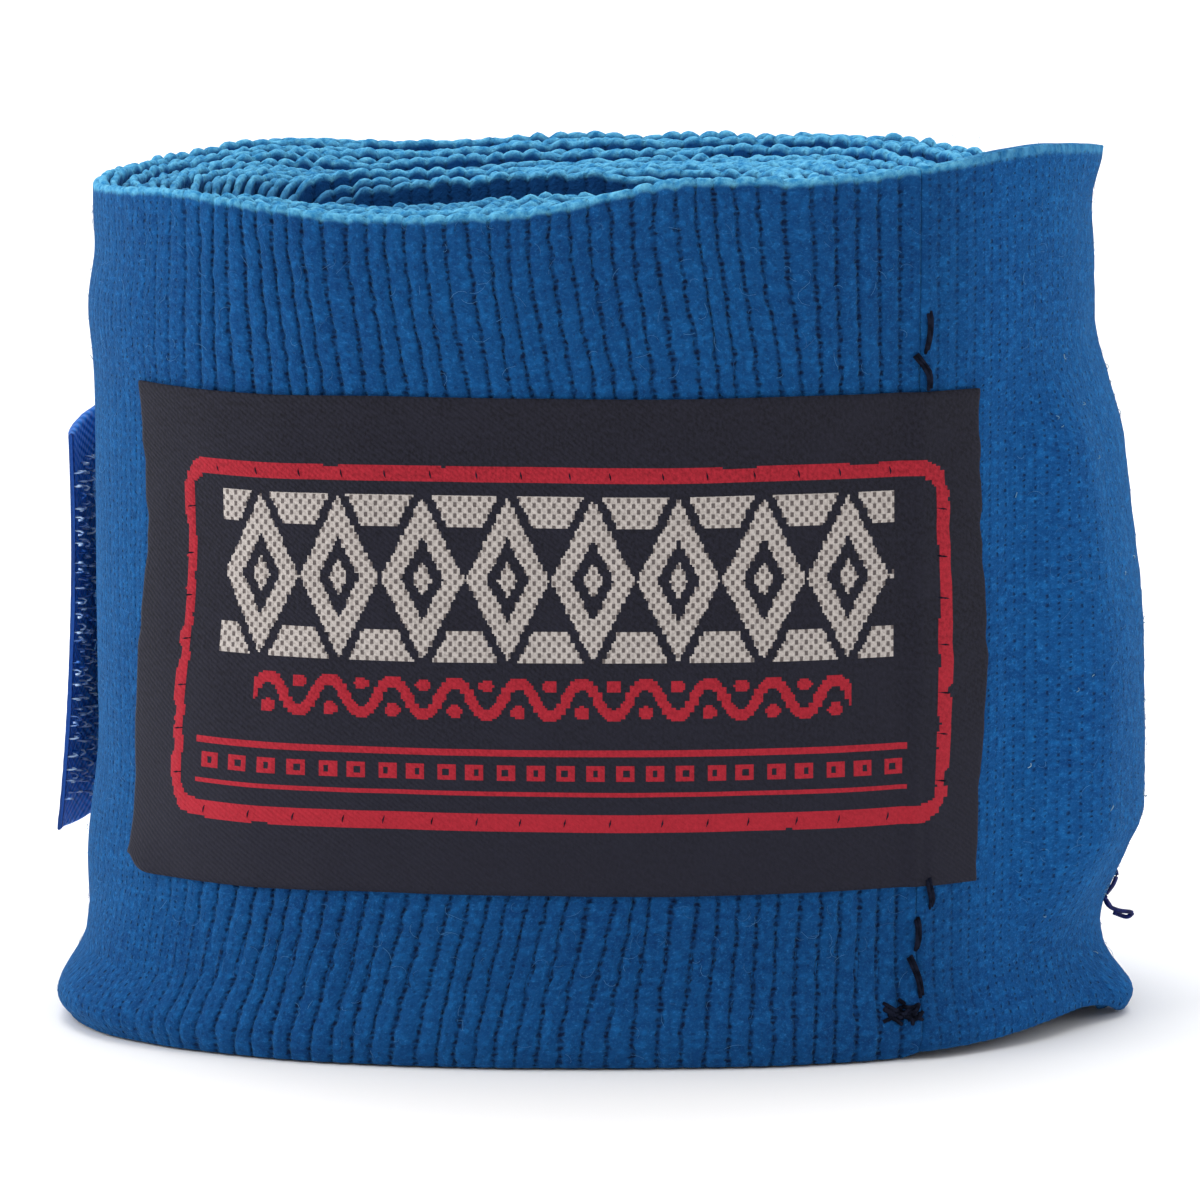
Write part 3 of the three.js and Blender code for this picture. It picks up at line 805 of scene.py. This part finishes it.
def sewn_end():
    start, end = SEAM - 1.0, HEM_FOLD
    phase, length = rib_columns(start, end, (0, 0.25, 0.5, 0.75))
    section = Section(rows=130, back_rows=12, round_steps=9)
    s, f = length[:, None], section.height[None]
    angle = angle_at(s) + 0 * f
    two_layers = smooth(angle, SEAM - 0.4, STRIP_END)
    thickness = KNIT + SECOND_LAYER * two_layers
    loose_top = 0.55 * smooth(f, 0.9, 1.0) * bell(angle, 354, 13)
    loose_foot = bell(f, 0, 0.04) * bell(angle, 350, 12)
    thickness = thickness + (loose_top + loose_foot)
    half = KNIT / 2 + 0.15 * two_layers
    top = through(angle, HEM_TOP) + 0.10 * wander(s, 3.1, 24)
    bottom = END_RISE + 0.75 * smooth(angle, SEAM, 335) - 1.1 * bell(angle, 347, 7)
    bulge = section.bulge + (section.double_bulge - section.bulge) * two_layers
    z = section.heights(bottom, top, half, bulge)
    near_seam = 1 - smooth(angle, SEAM - 0.4, SEAM + 2.5)
    fold = smooth(angle, HEM_FOLD - 1.2, HEM_FOLD)
    knit = 0.035 * np.cos(4 * math.pi * phase)[:, None] + 0.04 * wander2(s, z, 0.55, 0.5, 44)
    ribs = 0.09 * (rib_shape(phase)[:, None] - 0.6) * (1 - smooth(angle, SEAM, STRIP_END + 4))
    outer = hem_surface(angle, z) - SEAM_DIP * near_seam**3 + (knit + ribs) * (section.side > 0.5)
    tucked = 0.12 * (1 - smooth(angle, SEAM - 0.7, SEAM - 0.3))
    offset = outer - tucked - (1 - section.side) * thickness / 2 - 0.15 * fold * section.side
    ribbed = 0.5 - 0.5 * smooth(angle, SEAM, STRIP_END + 6)
    # The doubled part of the end is painted lighter as painted light, and its edge highlight is halved
    shade = {"ribs": ribbed, "doubled": smooth(angle, SEAM - 1, STRIP_END + 3)}
    made = ribbed_cloth("sewn_end", phase, section, HEM_CLOTH, angle, offset, z, shade)
    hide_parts("end_hem")
    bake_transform(made)


# ---- Label ------------------------------------------------------------------------------------

LABEL_CELL = 0.13
LABEL_THICK = 0.30
# Millimetres in from the label's edges, and the border's corner radius and width
BORDER = {"left": 3.85, "right": 2.5, "bottom": 4.3, "top": 4.4, "corner": 1.4, "width": 0.72}


def rounded_ring(u, v, width, height):
    """Distance from the middle line of the label's rounded border."""
    left, right = BORDER["left"], width - BORDER["right"]
    bottom, top = BORDER["bottom"], height - BORDER["top"]
    r = BORDER["corner"]
    du = np.abs(u - (left + right) / 2) - ((right - left) / 2 - r)
    dv = np.abs(v - (bottom + top) / 2) - ((top - bottom) / 2 - r)
    outside = np.hypot(np.maximum(du, 0), np.maximum(dv, 0))
    wider = 0.12 * smooth(dv - du, -0.8, 0.8)
    return np.abs(outside + np.minimum(np.maximum(du, dv), 0) - r) - wider


def label_weave(u, v, width, height):
    """0 black ground, 1 red and 2 cream, at each place on the label: a plain geometric trim."""
    step_u, step_v = 0.26, 0.14
    u = (np.floor(u / step_u) + 0.5) * step_u * 0.55 + u * 0.45
    v = (np.floor(v / step_v) + 0.5) * step_v
    kind = np.zeros(np.broadcast(u, v).shape, int)

    torn = smooth(u, width - 4, width - 3) * (1 - smooth(v, 11, 15))
    uneven = (0.04 + 0.13 * torn) * wander2(u, v, 0.7, 0.5, 51)
    ring = rounded_ring(u + 0.09 * wander(v, 1.1, 52), v + 0.03 * wander(u, 2.3, 53), width, height)
    kind[ring < BORDER["width"] / 2 + uneven] = 1

    # Broad band of lozenges with a small one inside each, cream
    first, last = BORDER["left"] + 2.5, width - BORDER["right"] - 3.0
    inside = (u > first - 0.2) & (u < last + 0.2)
    count = 8
    pitch = (last - first) / count
    across = np.abs(np.mod(u - first, pitch) / pitch - 0.5) * 2
    middle, half = height - 10.4, 4.8
    up = np.abs(v - middle) / half
    lozenge = across + up
    kind[inside & (up < 1) & (((lozenge < 0.98) & (lozenge > 0.50)) | (lozenge < 0.22))] = 2
    kind[inside & (up < 1) & (up > 0.62) & (lozenge > 1.22)] = 2

    # A red wave with a dot in each hollow
    wave_middle, waves_wide = height - 17.3, 3.6
    in_wave = u - (first + last) / 2 + 4.75 * waves_wide
    reach = (in_wave > 0) & (in_wave < 9.5 * waves_wide)
    turn = 2 * math.pi * in_wave / waves_wide
    wave = wave_middle + 0.95 * np.sin(turn)
    kind[reach & (np.abs(v - wave) < 0.48 + 0.12 * np.cos(2 * turn))] = 1
    in_one = np.mod(in_wave, waves_wide)
    kind[reach & (np.hypot(in_one - 2.7, v - wave_middle - 0.75) < 0.42)] = 1
    kind[reach & (np.hypot(in_one - 0.9, v - wave_middle + 0.75) < 0.42)] = 1

    # A finer red row of squares between two lines
    row_middle = height - 21.6
    in_row = u - (first + last) / 2 + 12 * 1.7
    reach = (in_row > 0) & (in_row < 24 * 1.7)
    square = np.maximum(np.abs(np.mod(in_row, 1.7) - 0.85), np.abs(v - row_middle))
    kind[reach & (square < 0.52) & (square > 0.16)] = 1
    kind[reach & (np.abs(np.abs(v - row_middle) - 1.15) < 0.16)] = 1
    return kind


def label_surface(angle, z):
    """Outer face of the label, lying over the ribs."""
    s = length_at(angle)
    seat = cloth_surface(angle, z) + 0.34
    loose = 0.08 * wander2(s, z, 6, 5, 54) + 0.08 * bell(z, LABEL_Z[0], 1.0)
    loose = loose + 0.05 * bell(z, LABEL_Z[1], 1.0)
    over_seam = -0.12 * bell(s, length_at(SEAM), 0.3) * (1 - smooth(z, 14, 22))
    curl = 0.5 * bell(s, length_at(on_front(LABEL_X[0])), 2.2) * bell(z, LABEL_Z[0], 1.8)
    return seat + loose + over_seam + curl


def label_place(u, v, width, height, sink=0.0):
    """A point on the label from millimetres along and up it."""
    first = length_at(on_front(LABEL_X[0]))
    rag = 0.14 * wander(v, 4.0, 55) + 0.10 * wander(v, 1.1, 56)
    edge = smooth(np.abs(u / width - 0.5), 0.42, 0.5) * np.sign(u - width / 2)
    lean = 1.4 * smooth(v, 5, 21) - 0.7 - 0.6 * smooth(v, 23, height)
    bow = lean * (1 - smooth(u, 2, 16)) + 0.5 * smooth(u / width, 0.9, 1.0) * bell(v, 14, 7)
    angle = angle_at(first + u + rag * edge + bow)
    cut = 0.9 * bell(u, 0, 1.0) * (1 - smooth(v, 0, 2.0))
    z = LABEL_Z[0] + v + cut + 0.10 * wander(u, 8, 57) * np.abs(v / height - 0.5) * 2
    x, y = oval(angle, label_surface(angle, z) - sink)
    return together(x, y, z)


def woven_label():
    width = float(length_at(on_front(LABEL_X[1])) - length_at(on_front(LABEL_X[0])))
    height = LABEL_Z[1] - LABEL_Z[0]
    columns, rows = round(width / LABEL_CELL), round(height / LABEL_CELL)
    u = np.linspace(0, width, columns + 1)[:, None]
    v = np.linspace(0, height, rows + 1)[None]
    kind = label_weave(u[:-1] + LABEL_CELL / 2, v[:, :-1] + LABEL_CELL / 2, width, height)
    yarn = kind > 0
    after, before = ((0, 1), (0, 1)), ((1, 0), (1, 0))
    raised = np.pad(yarn, after, mode="edge") & np.pad(yarn, before, mode="edge")
    at_side = np.abs(u / width - 0.5) - 0.5 + 0.25 / width
    at_end = np.abs(v / height - 0.5) - 0.5 + 0.25 / height
    rolled = 0.12 * smooth(np.maximum(at_side, at_end), 0, 0.25 / height)
    face = label_place(u, v, width, height, sink=rolled - 0.05 * raised)
    back = label_place(u, v, width, height, sink=LABEL_THICK)

    index = np.arange((columns + 1) * (rows + 1)).reshape(columns + 1, rows + 1)
    corners = [index[:-1, :-1], index[1:, :-1], index[1:, 1:], index[:-1, 1:]]
    quads = np.stack(corners, axis=-1).reshape(-1, 4)
    under = quads[:, ::-1] + index.size
    rim_loop = np.concatenate([index[:, 0], index[-1, 1:], index[-2::-1, -1], index[0, -2:0:-1]])
    following = np.roll(rim_loop, -1)
    wall = np.stack([rim_loop, rim_loop + index.size, following + index.size, following], axis=-1)
    faces = np.concatenate([quads, under, wall])
    flat = together(u, v).reshape(-1, 2)
    flat = np.concatenate([flat, flat])
    black = np.zeros(len(under) + len(wall), int)
    made = piece(
        "woven_label",
        np.concatenate([face.reshape(-1, 3), back.reshape(-1, 3)]),
        faces.tolist(),
        uv=flat[faces.ravel()],
        materials=[LABEL_BLACK, LABEL_RED, LABEL_CREAM],
        material_of_face=np.concatenate([kind.ravel(), black]),
    )
    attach(made, "roll")
    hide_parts("label")
    label_stitches(width, height)


def label_stitches(width, height):
    """Short black stitches that cross the border where the label is sewn down."""
    left, right = BORDER["left"], width - BORDER["right"]
    bottom, top = BORDER["bottom"], height - BORDER["top"]
    paths = []

    def across(u, v, du, dv):
        t = np.linspace(-1, 1, 5)
        spots = label_place(u + du * t, v + dv * t, width, height, sink=-0.05)
        outward = spots[:, :2] - OVAL_CENTRE
        outward /= np.linalg.norm(outward, axis=1, keepdims=True)
        spots[:, :2] -= outward * (0.16 * t[:, None] ** 2)
        paths.append(spots)

    jitter = np.random.default_rng(61)
    for u in np.arange(left + 2, right - 1, 2.6):
        across(u + jitter.uniform(-0.2, 0.2), bottom, 0.10, 0.42)
        across(u + jitter.uniform(-0.2, 0.2), top, -0.08, 0.40)
    for v in np.arange(bottom + 2, top - 1, 2.6):
        across(left, v + jitter.uniform(-0.2, 0.2), 0.42, 0.08)
        across(right, v + jitter.uniform(-0.2, 0.2), 0.42, -0.08)
    made = tubes("label_stitches", paths, 0.055, BLACK_THREAD)
    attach(made, "roll")
    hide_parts("label_stitching")


# ---- Stitching on the cloth -------------------------------------------------------------------


def on_cloth(x, z, lift=0.0):
    """A point on the front of the roll, from X in the row frame and a height."""
    angle = on_front(x - OVAL_CENTRE[0])
    surface = hem_surface(np.array(angle), z) if angle > SEAM - 0.4 else cloth_surface(angle, z) + 0.05
    px, py = oval(angle, surface + lift)
    return [float(px), float(py), z]


def seam_stitches():
    """Black thread down the seam of the doubled end: long dashes, a wiggle and a knotted end."""
    dashes = [
        [(18.45, 43.4, 0.0), (18.45, 42.9, 0.2), (18.4, 42.0, 0.2), (18.35, 41.1, -0.1)],
        [(17.75, 41.0, 0.0), (18.1, 40.4, 0.2), (18.4, 39.8, 0.24), (18.4, 39.0, 0.28)],
        [(18.45, 10.5, 0.4), (18.6, 9.9, 0.28), (18.75, 9.2, 0.24), (18.8, 8.7, -0.1)],
        [(18.05, 8.1, -0.1), (18.0, 7.6, 0.22), (18.0, 6.9, 0.22), (18.05, 6.3, -0.1)],
        [(17.65, 5.9, 0.0), (17.8, 5.3, 0.26), (18.0, 4.5, 0.3), (18.15, 3.6, 0.1)],
    ]
    paths = []
    for dash in dashes:
        for aside in (-0.06, 0.07):
            paths.append([on_cloth(x + aside, z + aside, lift) for x, z, lift in dash])
    knot = np.random.default_rng(71)
    for _ in range(26):
        x, z = 17.1 + knot.uniform(-0.8, 0.8), 2.85 + knot.uniform(-0.5, 0.5)
        dx, dz = knot.uniform(-0.45, 0.45), knot.uniform(-0.3, 0.3)
        ends = [on_cloth(x + side * dx, z + side * dz, 0.05) for side in (-1, 1)]
        paths.append([ends[0], on_cloth(x, z, knot.uniform(0.2, 0.4)), ends[1]])
    made = tubes("seam_stitches", [rounded_path(p) for p in paths], SEAM_THREAD, BLACK_THREAD, sides=6)
    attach(made, "roll")
    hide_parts("end_seam_stitching")


def rounded_path(points, steps=4):
    """The same route as a Catmull-Rom curve."""
    p = np.asarray(points, float)
    p = np.concatenate([[2 * p[0] - p[1]], p, [2 * p[-1] - p[-2]]])
    t = np.linspace(0, 1, steps, endpoint=False)[:, None]
    parts = []
    for a, b, c, d in zip(p[:-3], p[1:-2], p[2:-1], p[3:]):
        square, cube = 2 * a - 5 * b + 4 * c - d, 3 * b - a - 3 * c + d
        parts.append(0.5 * (2 * b + (c - a) * t + square * t**2 + cube * t**3))
    parts.append(p[-2][None])
    return np.concatenate(parts)


# ---- Hook tape, patch and pile ----------------------------------------------------------------


def tape_place(angle, z, lift):
    """A point on the tape, `lift` outside its inner face."""
    sag = tape_sag(angle, z) * smooth(z, 4, 10)
    tip = smooth(angle, TIP_START, TIP_END)
    drawn_in = 0.42 + 0.043 * (z - 22) - 0.003 * (z - 22) ** 2
    ripple = 0.08 * wander2(length_at(angle), z, 6, 7, 81) - tip * drawn_in
    x, y = oval(angle, tape_inner(angle) - sag + ripple + lift)
    return together(x, y, z - 1.1 * tip)


def tape_edges(angle):
    """Bottom and top edge of the tape; the tip is cut at a slant."""
    tip = smooth(angle, TIP_END - 14, TIP_END)
    return TAPE_Z[0] + 0.5 * tip, TAPE_Z[1] - 0.4 * tip


def hook_tape(name, start, end, bodies, bend, nodes):
    """One stretch of the woven ground, flat and upright."""
    length = np.arange(length_at(start), length_at(end) + 0.2, 0.4)
    section = Section(rows=40, back_rows=16, round_steps=4)
    angle = angle_at(length)[:, None]
    low, high = tape_edges(angle)
    half = TAPE_GROUND / 2 - 0.18 * smooth(angle, TIP_END - 6, TIP_END)
    z = section.heights(low, high, half)
    weave = 0.02 * np.cos(math.pi * length / 0.8)[:, None] * np.cos(math.pi * z / 0.6)
    points = tape_place(angle + 0 * z, z, half + section.side * half + weave)
    v = section.texture_v(TAPE_GROUND) * 0.5
    texture = together(length[:, None], v[None])
    made = band(name, points, texture, TAPE_LOOK)
    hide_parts(*nodes)
    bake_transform(made)


def hook_field(name, start, end, bodies, bend, nodes):
    """Rows of small bent filaments on the inner face of the tape."""
    paths = []
    seeded = np.random.default_rng(83)
    for i, length in enumerate(np.arange(length_at(end) - 0.25, length_at(start) + 0.8, -0.85)):
        angle = float(angle_at(length))
        low, high = tape_edges(angle)
        for z in np.arange(low + 2.0 + 0.4 * (i % 2), high - 1.8, 0.85):
            lean = seeded.choice((-1, 1)) * seeded.uniform(0.6, 1.0)
            droop, slip = seeded.uniform(-0.25, 0.25, 2)
            step = float(angle_at(length + 0.28 * lean)) - angle
            route = [(0, 0.05), (0.1, -0.32), (0.6, -HOOK_HEIGHT), (1.1, -0.42), (1.2, -0.24)]
            paths.append([tape_place(angle + step * t, z + slip + droop * t, lift) for t, lift in route])
    made = tubes(name, paths, 0.075, HOOK_LOOK, sides=3)
    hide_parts(*nodes)
    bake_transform(made)


def tape_pieces():
    middle = on_back(-3.0)
    root = ("end_flap", "hook_strap"), ((0.021, 0.017, 0.0225), (0.018, 0.017, 0.0225))
    tip = ("hook_strap", "strap_tip"), ((-0.026, 0.0138, 0.0225), (-0.028, 0.0118, 0.0225))
    hook_tape("hook_tape_inner", TAPE_ROOT_FROM, middle, *root, ("hook_tape_root", "hook_tape_back"))
    hook_tape("hook_tape_outer", middle, TIP_END, *tip, ("hook_tape_back", "hook_tape_tip"))
    hook_field("hooks_inner", TAPE_ROOT_FROM, middle, *root, ("hooks_root", "hooks_back"))
    hook_field("hooks_outer", middle, TIP_END, *tip, ("hooks_back", "hooks_tip"))


def patch_place(angle, z, lift):
    x, y = oval(angle, roll_surface(angle) + lift)
    return together(x, y, z)


def loop_patch():
    """The woven patch that the hooks close on, with its field of looped pile."""
    start, end = on_back(PATCH_X[1]), on_back(PATCH_X[0])
    length = np.arange(length_at(start), length_at(end), 0.35)
    section = Section(rows=40, back_rows=4, round_steps=4)
    angle = angle_at(length)[:, None]
    half = PATCH_GROUND / 2
    z = section.heights(*TAPE_Z, half)
    points = patch_place(angle + 0 * z, z, 0.20 + half + section.side * half)
    texture = together(length[:, None], section.texture_v(PATCH_GROUND)[None] * 0.5)
    ground = band("loop_patch_ground", points, texture, PILE_GROUND_LOOK)
    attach(ground, "roll")
    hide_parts("loop_patch")

    seeded = np.random.default_rng(91)
    paths = []
    for _ in range(PILE_LOOPS):
        s = seeded.uniform(length[0] + 0.8, length[-1] - 0.8)
        z0 = seeded.uniform(TAPE_Z[0] + 2, TAPE_Z[1] - 2)
        ds, dz = seeded.uniform(-0.7, 0.7, 2)
        tall = seeded.uniform(0.3, PILE_HEIGHT)
        route = [(0, 0.5), (0.25, 0.55 + tall * 0.7), (0.55, 0.55 + tall), (1.0, 0.6)]
        paths.append([patch_place(float(angle_at(s + ds * t)), z0 + dz * t, lift) for t, lift in route])
    pile = tubes("loop_pile_field", paths, 0.035, PILE_LOOK, sides=3)
    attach(pile, "roll")
    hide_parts("loop_pile")

    place = lambda s, z, lift: patch_place(float(angle_at(s)), z, 0.62 + lift)
    rows = stitch_row(place, length[0], length[-1])
    made = tubes("loop_patch_stitches", rows, STITCH_RADIUS, NAVY_THREAD)
    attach(made, "roll")
    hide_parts("loop_patch_stitching")


def stitch_row(place, first, last, low=TAPE_Z[0] + 0.9, high=TAPE_Z[1] - 0.9, stitch=2.4):
    """Lockstitches round a rectangle: each is a short arch with a gap after it."""
    arch = [(0.0, -0.12), (0.15, 0.04), (0.5, 0.07), (0.85, 0.04), (1.0, -0.12)]
    reach = stitch * 0.82
    paths = []
    for z in (low, high):
        for s in np.arange(first + 0.9, last - 0.9 - reach, stitch):
            paths.append([place(s + reach * t, z, lift) for t, lift in arch])
    for s in (first + 0.9, last - 0.9):
        for z in np.arange(low, high - reach, stitch):
            paths.append([place(s, z + reach * t, lift) for t, lift in arch])
    return paths


def hook_tape_stitches():
    """Navy stitches that hold the tape's root inside the hem."""
    first, last = length_at(TAPE_ROOT_FROM) + 0.5, length_at(HEM_FOLD) - 0.6
    place = lambda s, z, lift: tape_place(float(angle_at(s)), z, -0.05 - lift)
    made = tubes("hook_tape_stitches", stitch_row(place, first, last), STITCH_RADIUS, NAVY_THREAD)
    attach(made, "end_flap")
    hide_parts("hook_tape_stitching")


def loose_thread():
    """The cut end of the navy thread, looped out of the hem's lower right edge."""
    low, high = np.array(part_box("loose_thread_end")) / MM
    x, y = low[0] - 0.5, (low[1] + high[1]) / 2
    route = [(-0.3, 0.4, 7.6), (0.4, 0.1, 7.95), (0.95, -0.2, 7.5), (0.75, -0.3, 6.8), (0.3, -0.3, 6.1)]
    route += [(0.5, -0.3, 5.5), (1.1, -0.3, 5.2), (1.9, -0.2, 5.05), (1.6, 0.0, 4.75), (0.8, 0.1, 5.0)]
    bead = [(0.35, -0.35, 5.85), (0.6, -0.35, 5.45)]
    route, bead = ([(x + dx, y + dy, z) for dx, dy, z in spots] for spots in (route, bead))
    paths = [rounded_path(route, 5), rounded_path(bead, 3)]
    made = tubes("loose_thread", paths, 0.14, NAVY_THREAD, sides=7)
    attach(made, "end_flap")
    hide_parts("loose_thread_end")


# ---- Thumb loop -------------------------------------------------------------------------------


def thumb_loop():
    """A flat loop of webbing inside the core, sewn shut with a bar of stitches."""
    low, high = LOOP_BOX
    middle = (low + high) / 2
    reach_x, reach_y = (high[0] - low[0]) / 2, (high[1] - low[1]) / 2
    tape = 0.8
    turn = np.linspace(0, 2 * math.pi, 161)[:-1]
    straight = reach_x - reach_y
    section = Section(rows=10, back_rows=10, round_steps=3)
    side_x = np.where(np.cos(turn) > 0, straight, -straight) * smooth(np.abs(np.cos(turn)), 0, 0.9)
    bend = reach_y - tape / 2
    centre = np.stack([side_x + bend * np.cos(turn), bend * np.sin(turn)], axis=1)
    along = np.roll(centre, -1, axis=0) - np.roll(centre, 1, axis=0)
    across = np.stack([along[:, 1], -along[:, 0]], axis=1)
    outward = across / np.linalg.norm(along, axis=1, keepdims=True)
    z = section.heights(low[2], high[2], tape / 2)
    flat = centre[:, None] + outward[:, None] * (section.side * tape / 2)[None, :, None]
    x, y = flat[..., 0] + middle[0], flat[..., 1] + middle[1]
    points = together(x, y, z[None])
    columns, rows = points.shape[:2]
    index = np.arange(columns * rows).reshape(columns, rows)
    ahead, above = np.roll(index, -1, axis=0), np.roll(index, -1, axis=1)
    quads = np.stack([index, ahead, np.roll(ahead, -1, axis=1), above], axis=-1).reshape(-1, 4)
    length = np.arange(columns + 1) * 0.3
    v = section.texture_v(tape) * 0.25
    c, r = np.meshgrid(np.arange(columns), np.arange(rows), indexing="ij")
    corners = [(c, r), (c + 1, r), (c + 1, r + 1), (c, r + 1)]
    uv = np.stack([np.stack([length[i], v[j]], axis=-1) for i, j in corners], axis=2)
    vertices, uv = points.reshape(-1, 3), uv.reshape(-1, 2)
    made = piece("thumb_loop_webbing", vertices, quads.tolist(), uv, [WEBBING_LOOK])
    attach(made, "roll")
    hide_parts("thumb_loop")

    stitch_low, stitch_high = np.array(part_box("thumb_loop_stitching")) / MM
    face = low[1] - 0.02
    arch = [(0.1, 0.0), (-0.08, 0.3), (-0.08, 1.0), (0.1, 1.3)]
    paths = []
    for x in np.linspace(stitch_low[0] + 0.3, stitch_high[0] - 0.3, 4):
        for z0 in np.arange(stitch_low[2], stitch_high[2] - 1.2, 1.6):
            paths.append([(x, face + inward, z0 + up) for inward, up in arch])
    stitches = tubes("thumb_loop_stitches", paths, STITCH_RADIUS, NAVY_THREAD)
    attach(stitches, "roll")
    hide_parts("thumb_loop_stitching")


# ---- Loose fibres -----------------------------------------------------------------------------


def fibre(seeded, place, s, z, reach):
    """A short curled hair standing a little off the surface."""
    bend = seeded.uniform(-1, 1, 4)
    heading = seeded.uniform(0, 2 * math.pi)
    route = []
    for i, t in enumerate(np.linspace(0, 1, 5)):
        turn = heading + bend[0] * 2.2 * t
        ds, dz = reach * t * math.cos(turn), reach * t * math.sin(turn)
        lift = 0.02 + 0.16 * abs(bend[1]) * math.sin(math.pi * t) + 0.06 * abs(bend[2]) * t
        route.append(place(s + ds, z + dz, lift))
    return route


def cloth_fuzz():
    seeded = np.random.default_rng(101)
    first, last = length_at(100.0), length_at(SEAM - 1)

    def on_roll(s, z, lift):
        angle = float(angle_at(s))
        z = min(max(z, 0.4), 49.2)
        x, y = oval(angle, cloth_surface(angle, z) + 0.02 + lift)
        return (float(x), float(y), z)

    paths = []
    for _ in range(1100):
        z = seeded.uniform(0.5, 49.2)
        s = seeded.uniform(first, last)
        if 9.5 < z < 39.8 and s > length_at(on_front(LABEL_X[0] - 0.6)):
            continue
        paths.append(fibre(seeded, on_roll, s, z, seeded.uniform(0.4, 1.1)))
    made = tubes("cloth_fuzz", paths, HAIR, FUZZ_LOOK, sides=3)
    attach(made, "roll")

    def on_end(s, z, lift):
        angle = float(angle_at(s))
        x, y = oval(angle, hem_surface(np.array(angle), z) + 0.02 + lift)
        return (float(x), float(y), z)

    kinds = [
        ("end_fuzz", 420, 4, (1.5, 50), (0.3, 0.9), HAIR, FUZZ_LOOK),
        ("end_lint", 60, 8, (3, 40), (0.15, 0.4), FLECK, LINT_LOOK),
    ]
    for name, count, margin, heights, reaches, radius, look in kinds:
        paths = []
        for _ in range(count):
            s = seeded.uniform(length_at(STRIP_END + 3), length_at(HEM_FOLD - margin))
            paths.append(fibre(seeded, on_end, s, seeded.uniform(*heights), seeded.uniform(*reaches)))
        made = tubes(name, paths, radius, look, sides=3)
        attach(made, "end_flap")


# ---- Stage ------------------------------------------------------------------------------------


def stage():
    bpy.ops.mesh.primitive_plane_add(size=12, location=(0, 0, -0.0001))
    floor = bpy.context.object
    floor.name = "floor"
    floor.data.materials.append(floor_look())
    floor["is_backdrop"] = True

    world = bpy.data.worlds.new("studio")
    world.use_nodes = True
    world.node_tree.nodes["Background"].inputs[0].default_value = (1, 1, 1, 1)
    world.node_tree.nodes["Background"].inputs[1].default_value = 0.6
    bpy.context.scene.world = world

    def area(name, place, aim, size, power):
        data = bpy.data.lights.new(name, "AREA")
        data.shape = "RECTANGLE"
        data.size, data.size_y = size
        data.energy = power
        lamp = bpy.data.objects.new(name, data)
        lamp.location = place
        lamp.rotation_euler = (Vector(aim) - Vector(place)).to_track_quat("-Z", "Y").to_euler()
        bpy.context.scene.collection.objects.link(lamp)

    middle = (0, 0, 0.025)
    area("key_left", (-0.45, -0.30, 0.60), middle, (0.4, 0.4), 1.6)
    area("side_left", (-0.80, 0.00, 0.22), middle, (0.5, 0.5), 3.2)
    area("side_right", (0.80, -0.10, 0.25), middle, (0.5, 0.5), 1.2)
    area("overhead", (0.0, 0.15, 0.70), middle, (0.7, 0.5), 3.4)
    area("backdrop", (0.0, 1.60, 1.20), (0, 1.4, 0), (2.4, 1.6), 16.0)

    camera = bpy.data.cameras.new("camera")
    camera.lens = 228.9
    camera.sensor_width = 36.0
    eye = bpy.data.objects.new("camera", camera)
    eye.location = (0.00006, -0.4476, 0.103)
    aim = Vector((0.00006, -0.0181, 0.027))
    eye.rotation_euler = (aim - eye.location).to_track_quat("-Z", "Y").to_euler()
    bpy.context.scene.collection.objects.link(eye)
    bpy.context.scene.camera = eye
    bpy.context.scene.view_settings.view_transform = "Standard"


stage()
inner_turns()
outer_turn()
sewn_end()
woven_label()
seam_stitches()
tape_pieces()
loop_patch()
hook_tape_stitches()
loose_thread()
thumb_loop()
cloth_fuzz()

boxes = {"cad": CAD_BOX, "visual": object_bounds()}
{name: [list(map(float, corner)) for corner in box] for name, box in boxes.items()}
